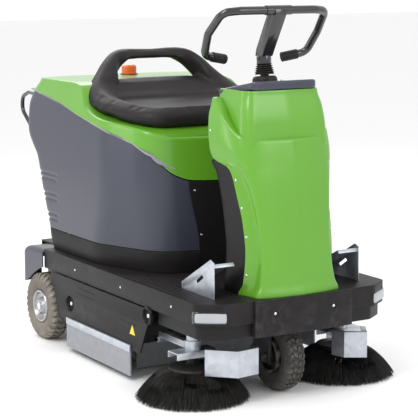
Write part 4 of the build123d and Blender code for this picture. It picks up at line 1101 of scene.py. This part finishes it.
wheels = dict(
    lugs=30, boltCount=5, boltCircle=0.040, boltRadius=0.006,
    # rows of lugs: both ends across the tread, shift and lean round it
    tread=[(-0.98, -0.50, 0.0, 0.25), (0.50, 0.98, 0.25, -0.25), (-0.42, -0.04, 0.5, -0.30),
           (0.04, 0.42, 0.0, 0.30)])


def buildTyre(node, name, hub, lugHeight, finish):
    middle, size = nodeMiddle(node)
    radius, half = size.z / 2, size.x / 2
    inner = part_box(hub)[1].z - middle.z
    base = radius - lugHeight
    flank = [(0.62, inner - 0.002), (0.80, inner + 0.004), (0.97, inner + 0.018), (1.0, (inner + base) / 2),
             (0.97, base - 0.016), (0.84, base - 0.005), (0.55, base - 0.001)]
    profile = [(-half * wide, r) for wide, r in flank] + [(0, base)]
    profile += [(half * wide, r) for wide, r in flank[::-1]] + [(-half * 0.62, inner - 0.002)]
    parts = [lathe(name + "Carcass", profile, middle, (1, 0, 0), 96)]
    pitch = 2 * math.pi / wheels["lugs"]
    for low, high, shift, lean in wheels["tread"]:
        for n in range(wheels["lugs"]):
            points = []
            for x, turnShift in ((low, 0.0), ((low + high) / 2, lean / 2), (high, lean)):
                drop = 0.0 if abs(x) < 0.7 else (abs(x) - 0.7) * 0.055
                for angle in (-0.30, 0.30):
                    for top in (0, 1):
                        shrink = 0.85 if top else 1.0
                        turn = (n + shift + turnShift + angle * shrink) * pitch
                        r = (radius - drop if top else base - 0.006 - drop)
                        points.append((middle.x + x * half, middle.y + r * math.sin(turn),
                                       middle.z + r * math.cos(turn)))
            faces = []
            for k in (0, 4):
                faces += [(k, k + 4, k + 5, k + 1), (k + 2, k + 3, k + 7, k + 6),
                          (k + 1, k + 5, k + 7, k + 3)]
            faces += [(0, 1, 3, 2), (8, 10, 11, 9)]
            parts.append(meshObject(name + "Lug", points, faces))
    tyre = joined(name, parts)
    tyre.data.set_sharp_from_angle(angle=math.radians(35))
    settle(outward(tyre, middle), node, finish)


def buildRim(node, name, outerSign):
    middle, size = nodeMiddle(node)
    radius, half = size.z / 2, size.x / 2
    face = outerSign * half
    profile = [(-face, 0.011), (-face, radius - 0.004), (-face * 0.9, radius), (face * 0.88, radius),
               (face, radius - 0.003), (face, radius - 0.009), (face * 0.72, radius - 0.014),
               (face * 0.60, radius - 0.022), (face * 0.62, 0.034), (face * 0.80, 0.028),
               (face * 0.96, 0.024), (face, 0.020), (face, 0.011), (-face, 0.011)]
    parts = [lathe(name + "Disc", profile, middle, (1, 0, 0), 72)]
    for turn in turns(wheels["boltCount"]):
        spot = middle + Vector((face * 0.60, wheels["boltCircle"] * math.sin(turn),
                                wheels["boltCircle"] * math.cos(turn)))
        bolt = wheels["boltRadius"]
        parts.append(lathe(name + "Bolt", [(0, bolt), (0.005, bolt), (0.0065, bolt * 0.7), (0.0065, 0)], spot,
                           (outerSign, 0, 0), 6))
    rim = joined(name, parts)
    rim.data.set_sharp_from_angle(angle=math.radians(35))
    settle(rim, node)


for side, label in (("right", "Right"), ("left", "Left")):
    buildTyre("rear_tyre_" + side, "rearTyre" + label, "rear_rim_" + side, 0.0055, "rear_tyre")
buildTyre("front_tyre", "frontTyre", "front_hub", 0.006, "front_tyre")
buildRim("rear_rim_right", "rearRimRight", -1)
buildRim("rear_rim_left", "rearRimLeft", 1)
print("wheels built")


# brushes: every filament is a thin bent strand

brush = dict(strands=2400, tufts=75, thick=0.0010, tipSpread=0.012, seed=11,
             mainStrands=2600, mainRows=8, mainThick=0.0013)


def strand(points, faces, line, thick):
    # a three-sided tapered thread along the line
    for i, p in enumerate(line):
        ahead = (line[min(i + 1, len(line) - 1)] - line[max(i - 1, 0)]).normalized()
        side = ahead.orthogonal().normalized()
        other = ahead.cross(side)
        radius = thick * (1 - 0.45 * i / (len(line) - 1))
        for turn in turns(3):
            points.append(p + (side * math.cos(turn) + other * math.sin(turn)) * radius)
        if i:
            a, b = len(points) - 6, len(points) - 3
            faces += [(a + k, a + (k + 1) % 3, b + (k + 1) % 3, b + k) for k in range(3)]


def buildSideBristles(node, name):
    dice = random.Random(brush["seed"])
    low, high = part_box(node)
    middle, tall = (low + high) / 2, high.z
    points, faces = [], []
    reach = (high.x - low.x) / 2
    for n in range(brush["strands"]):
        tuft = n % brush["tufts"]
        turn = 2 * math.pi * (tuft + dice.uniform(-0.34, 0.34)) / brush["tufts"]
        share = dice.random()
        root = 0.048 + 0.030 * share
        tip = min(reach - 0.002, reach * (0.86 + 0.12 * share) + dice.uniform(-1, 0.4) * brush["tipSpread"])
        swing = turn + dice.uniform(-0.05, 0.05)
        floorZ = 0.0016 + abs(dice.gauss(0, 0.0035))
        line = []
        for k in range(7):
            t = k / 6
            r = root + (tip - root) * (t ** 0.80)
            a = turn + (swing - turn) * t
            line.append(Vector((middle.x + r * math.cos(a), middle.y + r * math.sin(a),
                                tall + 0.002 - (tall + 0.002 - floorZ) * (t ** 1.40))))
        strand(points, faces, line, brush["thick"])
    settle(meshObject(name, points, faces), node)


def buildMainBristles():
    dice = random.Random(brush["seed"] + 1)
    low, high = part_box("main_brush_bristles")
    middle = (low + high) / 2
    reach, points, faces = (high.z - low.z) / 2 - 0.001, [], []
    for n in range(brush["mainStrands"]):
        row = n % brush["mainRows"]
        along = dice.random()
        turn = 2 * math.pi * (row / brush["mainRows"] + along * 0.5) + dice.uniform(-0.06, 0.06)
        x = low.x + 0.004 + (high.x - low.x - 0.008) * along
        line = []
        for k, r in enumerate((0.054, 0.09, reach - dice.random() * 0.002)):
            bent = turn + 0.02 * k
            line.append(Vector((x, middle.y + r * math.sin(bent), middle.z + r * math.cos(bent))))
        strand(points, faces, line, brush["mainThick"])
    settle(meshObject("mainBristles", points, faces), "main_brush_bristles")


def buildDisc(node, name):
    low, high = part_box(node)
    middle = (low + high) / 2
    base = low.z
    profile = [(0.000, 0.0), (0.000, 0.080), (0.0012, 0.0838), (0.006, 0.0846), (0.0098, 0.0820),
               (0.0112, 0.0775), (0.0105, 0.060), (0.0125, 0.050), (0.0150, 0.034), (0.020, 0.023),
               (0.026, 0.020), (0.040, 0.0195), (0.0405, 0.0082), (high.z - base, 0.0078),
               (high.z - base, 0.0)]
    settle(lathe(name, profile, (middle.x, middle.y, base), (0, 0, 1), 80), node)


for side, label in (("right", "Right"), ("left", "Left")):
    buildDisc("side_disc_" + side, "sideDisc" + label)
    buildSideBristles("side_bristles_" + side, "sideBristles" + label)
buildMainBristles()
print("brushes built")


# boot, beacon and small trims

def buildBoot():
    low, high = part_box("column_boot")
    start, axis = steerPoint(low.z + 0.003)
    tall = high.z - low.z - 0.004
    folds, steps = 5, 60
    profile = [(0, 0.018)]
    for k in range(steps + 1):
        t = k / steps
        radius = 0.0335 - 0.0085 * t + 0.0028 * math.cos(2 * math.pi * folds * t)
        profile.append((tall * t, min(radius, 0.0338)))
    profile.append((tall, 0.018))
    settle(lathe("steeringBoot", profile, start, axis, 72), "column_boot", "dark_rubber")


def buildBeacon():
    low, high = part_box("beacon")
    middle = (low + high) / 2
    tall = high.z - low.z
    foot = lathe("beaconFoot", [(0, 0), (0, 0.035), (0.004, 0.036), (0.008, 0.034), (0.008, 0.030),
                                (0.010, 0.0)], (middle.x, middle.y, low.z), (0, 0, 1), 64)
    settle(foot, "beacon", "black_plastic")
    rows = []
    for k in range(28):
        t = k / 27
        z = low.z + 0.008 + (tall - 0.0085) * min(1, t * 1.04)
        radius = 0.0285 * (1 if t < 0.72 else math.sqrt(max(0, 1 - ((t - 0.72) / 0.28) ** 2)))
        ribs = 0.0006 if t < 0.72 else 0.0
        row = []
        for turn in turns(96):
            reach = radius + ribs * math.cos(24 * turn)
            row.append(Vector((middle.x + reach * math.cos(turn), middle.y + reach * math.sin(turn), z)))
        rows.append(row)
    settle(outward(gridSkin("beaconLens", rows, closed=True), (middle.x, middle.y, middle.z)), "beacon")


deckRibs = dict(count=9, first=0.215, pitch=0.018, half=0.0042, rise=0.0022)


def buildDeckRibs():
    # anti-slip ribs of the foot deck, along the direction of travel
    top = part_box("deck_tray")[1].z
    parts = []
    for side in (-1, 1):
        for n in range(deckRibs["count"]):
            x = side * (deckRibs["first"] + deckRibs["pitch"] * n)
            start, end = (-0.43, -0.25 + 0.012 * n) if abs(x) < 0.298 else (-0.60, -0.20 + 0.01 * n)
            rows = []
            for k in range(14):
                t = k / 13
                rise = deckRibs["rise"] * min(1, t * 7, (1 - t) * 7)
                y = start + (end - start) * t
                rows.append([Vector((x + deckRibs["half"] * math.cos(math.pi * a / 6), y,
                                     top - 0.0006 + (rise + 0.0006) * math.sin(math.pi * a / 6)))
                             for a in range(7)])
            parts.append(gridSkin("rib", rows))
    settle(joined("deckRibs", parts), "deck_tray", replaced=False)


def plate(name, loops, thickness, bevel, place):
    # a flat plate with holes, from closed loops of (u, v)
    curve = bpy.data.curves.new(name, "CURVE")
    curve.dimensions = "2D"
    curve.fill_mode = "BOTH"
    curve.extrude = thickness / 2 - bevel
    curve.bevel_depth = bevel
    curve.bevel_resolution = 3
    curve.offset = -bevel
    for loop in loops:
        spline = curve.splines.new("POLY")
        spline.points.add(len(loop) - 1)
        for point, (u, v) in zip(spline.points, loop):
            point.co = (u, v, 0, 1)
        spline.use_cyclic_u = True
    holder = linked(name + "Curve", curve)
    mesh = bpy.data.meshes.new_from_object(holder.evaluated_get(bpy.context.evaluated_depsgraph_get()))
    bpy.data.objects.remove(holder)
    points = [place(v.co) for v in mesh.vertices]
    piece = cleaned(meshObject(name, points, [list(f.vertices) for f in mesh.polygons]), weld=0.00002)
    piece.data.set_sharp_from_angle(angle=math.radians(30))
    return piece


# lower side panels, with their wells, beads and marks, and the screws of the covers

sidePanel = dict(arch=0.142, wheel=(0.478, 0.130), wells=[(0.226, 0.186), (-0.375, 0.258)], wellRadius=0.030,
                 frontLow=-0.322, frontTop=-0.414, rearTop=0.391, thickness=0.0065,
                 lipRear=0.330, lipDepth=0.014, lipTall=0.006, beadTall=0.0022,
                 beads=((0.02, 0.16, 0.236), (-0.30, -0.16, 0.206)), mark=(-0.272, 0.186, 0.020))
coverScrews = dict(deck=(0.187, -0.175, -0.537), deckZ=0.322, bumper=(0.118, 0.312),
                   panel=((0.128, 0.660), (0.098, 0.497)))


def circleLoop(centre, radius):
    return [(centre[0] + radius * math.cos(turn), centre[1] + radius * math.sin(turn)) for turn in turns(40)]


def rectangle(u0, u1, v0, v1):
    return [(u0, v0), (u1, v0), (u1, v1), (u0, v1)]


def buildSidePanels():
    low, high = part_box("side_panels")
    wy, wz = sidePanel["wheel"]
    arch, top = sidePanel["arch"], high.z - 0.002
    arc = [(wy + arch * math.cos(math.radians(a)), wz + arch * math.sin(math.radians(a)))
           for a in range(128, 188, 4)]
    front = roundedPath([Vector((0, low.z, 0)), Vector((sidePanel["frontLow"], low.z, 0)),
                         Vector((sidePanel["frontTop"], top, 0)), Vector((0, top, 0))],
                        [0, 0.024, 0.012, 0], 8)
    outline = [(sidePanel["rearTop"], top)] + arc + [(p.x, p.y) for p in front[1:-1]]
    holes = [circleLoop(spot, sidePanel["wellRadius"]) for spot in sidePanel["wells"]]
    thickness, inner = sidePanel["thickness"], sidePanel["lipDepth"]
    x = high.x - thickness / 2
    lipLoop = rectangle(sidePanel["frontLow"] + 0.02, sidePanel["lipRear"], low.z,
                        low.z + sidePanel["lipTall"])
    parts = [plate("sidePanelPlate", [outline] + holes, thickness, 0.0018,
                   lambda c: Vector((-x - c.z, c.x, c.y))),
             plate("sidePanelLip", [lipLoop], inner, 0.001,
                   lambda c: Vector((-high.x + thickness + inner / 2 - c.z, c.x, c.y)))]
    for y, z in sidePanel["wells"]:
        r = sidePanel["wellRadius"]
        profile = [(0.0006, r + 0.0015), (0.0010, r), (-0.001, r - 0.0015), (-0.011, r - 0.004),
                   (-0.0125, r - 0.007), (-0.0125, 0.004), (-0.0145, 0.004), (-0.0145, r - 0.005),
                   (-0.003, r + 0.0005), (0.0006, r + 0.0015)]
        parts.append(lathe("well", profile, (-high.x, y, z), (-1, 0, 0), 56))
    for y0, y1, z in sidePanel["beads"]:
        for shift in (0.0, 0.022):
            loop = rectangle(y0, y1, z + shift, z + shift + sidePanel["beadTall"])
            parts.append(plate("bead", [loop], 0.002, 0.0006,
                               lambda c: Vector((-high.x - 0.0002 - c.z, c.x, c.y))))
    right = joined("rightPanel", parts)
    panels = joined("sidePanels", [right, mirrored("leftPanel", right)])
    panels.data.set_sharp_from_angle(angle=math.radians(30))
    settle(panels, "side_panels")


def buildCoverScrews():
    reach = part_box("side_panels")[1].x
    deckHalf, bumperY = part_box("deck_tray")[1].x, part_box("front_bumper")[0].y
    bumperX, bumperZ = coverScrews["bumper"]
    screws = []
    for side in (-1, 1):
        for y, z in sidePanel["wells"]:
            screws.append(screw("knob", (side * reach, y, z), (side, 0, 0)))
        for y in coverScrews["deck"]:
            screws.append(screw("strip", (side * deckHalf, y, coverScrews["deckZ"]), (side, 0, 0)))
        screws.append(screw("bumper", (side * bumperX, bumperY + 0.0072, bumperZ), (0, -1, 0)))
        for x, z in coverScrews["panel"]:
            spot = bodyPoint(shareWhere(z, lambda p: p.y < 0 and p.x < x), z)
            screws.append(screw("panel", (side * spot.x, spot.y, z), (0, -1, 0)))
    settle(joined("coverScrews", screws), "cover_fasteners")


def buildMarks():
    # plain yellow triangles, one on each side panel
    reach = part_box("side_panels")[1].x
    y, z, size = sidePanel["mark"]
    loop = [(y, z + size), (y - size, z - size * 0.75), (y + size, z - size * 0.75)]
    marks = [plate("mark", [loop], 0.0012, 0.0003,
                   lambda c: Vector((side * (reach + 0.0004 + c.z), c.x, c.y))) for side in (-1, 1)]
    settle(joined("cautionTriangles", marks), "side_panels", "warning_yellow", replaced=False)


# corner lamps: a ribbed lens in a dark frame, bent round the ends of the slanted face

cornerLamp = dict(length=0.116, height=0.038, frame=0.005, ribs=26, flat=0.044, bend=26.0,
                  corner=((0.300, -0.752), (0.385, -0.694)))


def lampRow(side, along, out, z):
    # a point on the deck's front corner: along the slanted face, out of it, and at a height
    start, end = (Vector(place) for place in cornerLamp["corner"])
    middle, run = (start + end) / 2, (end - start).normalized()
    away = Vector((run.y, -run.x))
    over = max(0.0, abs(along) - cornerLamp["flat"])
    bend = -cornerLamp["bend"] * over * over
    spot = middle + run * along + away * (out + bend)
    return Vector((side * spot.x, spot.y, z))


def buildLamps():
    low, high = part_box("corner_lamps")
    middleZ, lenses, frames = (low.z + high.z) / 2, [], []
    for side in (-1, 1):
        for grow, lift, holder in ((0.0, 0.0045, lenses), (cornerLamp["frame"], 0.0016, frames)):
            rows = []
            for r in range(13):
                v = -1 + 2 * r / 12
                row = []
                for c in range(45):
                    u = -1 + 2 * c / 44
                    edge = max(abs(u) ** 6, abs(v) ** 6)
                    ribbed = holder is lenses and edge < 0.5
                    rib = 0.0005 * math.cos(cornerLamp["ribs"] * math.pi * u) if ribbed else 0.0
                    half = (cornerLamp["length"] / 2 + grow) * (1 - 0.04 * v * v)
                    tall = (cornerLamp["height"] / 2 + grow) * (1 - 0.12 * abs(u) ** 3)
                    row.append(lampRow(side, u * half, lift * (1 - edge) + rib - 0.004 * edge,
                                       middleZ + v * tall))
                rows.append(row)
            holder.append(outward(gridSkin("lamp", rows), (0, -0.3, middleZ)))
    settle(thicken(joined("lampLenses", lenses), 0.002, 0), "corner_lamps")
    settle(thicken(joined("lampFrames", frames), 0.002, 0), "corner_lamps", "gloss_black", replaced=False)


# rear fenders: the plan is walked from front to rear, each place with its own wall and roll

fender = dict(front=0.459, rear=0.656, inner=0.3055, outer=0.392, corner=0.060, roll=0.022,
              top=[(0.459, 0.3585), (0.540, 0.356), (0.610, 0.349), (0.656, 0.336)],
              low=[(0.459, 0.286), (0.500, 0.272), (0.545, 0.250), (0.590, 0.222), (0.656, 0.200)])


def buildFenders():
    outer, inner, rear = fender["outer"], fender["inner"], fender["rear"]
    plan = roundedPath([Vector((-outer, fender["front"], 0)), Vector((-outer, rear, 0)),
                        Vector((-inner, rear, 0))], [0, fender["corner"], 0], 16)
    columns = []
    for p in evenly(plan, 60):
        target = Vector((-inner, min(p.y, 0.596), 0))
        reach = (target - p).length
        top, low = readTable(fender["top"], p.y)[0], readTable(fender["low"], p.y)[0]
        roll, line = fender["roll"], []
        for k in range(9):
            line.append(Vector((p.x, p.y, low + (top - roll - low) * k / 8)))
        for k in range(1, 9):
            inset, drop = quarter(k, 8)
            q = p.lerp(target, min(1.0, roll * inset / reach))
            line.append(Vector((q.x, q.y, top - roll * drop)))
        start = min(1.0, roll / reach)
        for k in range(1, 7):
            q = p.lerp(target, start + (1 - start) * k / 6)
            level = readTable(fender["top"], q.y)[0] * k / 6 + top * (1 - k / 6)
            line.append(Vector((q.x, q.y, max(top, level))))
        columns.append(line)
    right = thicken(outward(gridSkin("fenderRight", transposed(columns)), (-0.33, 0.52, 0.25)), 0.004)
    settle(joined("rearFenders", [right, mirrored("fenderLeft", right)]), "rear_fenders")


buildBoot()
buildBeacon()
buildDeckRibs()
buildSidePanels()
buildCoverScrews()
buildMarks()
buildLamps()
buildFenders()
print("details built")
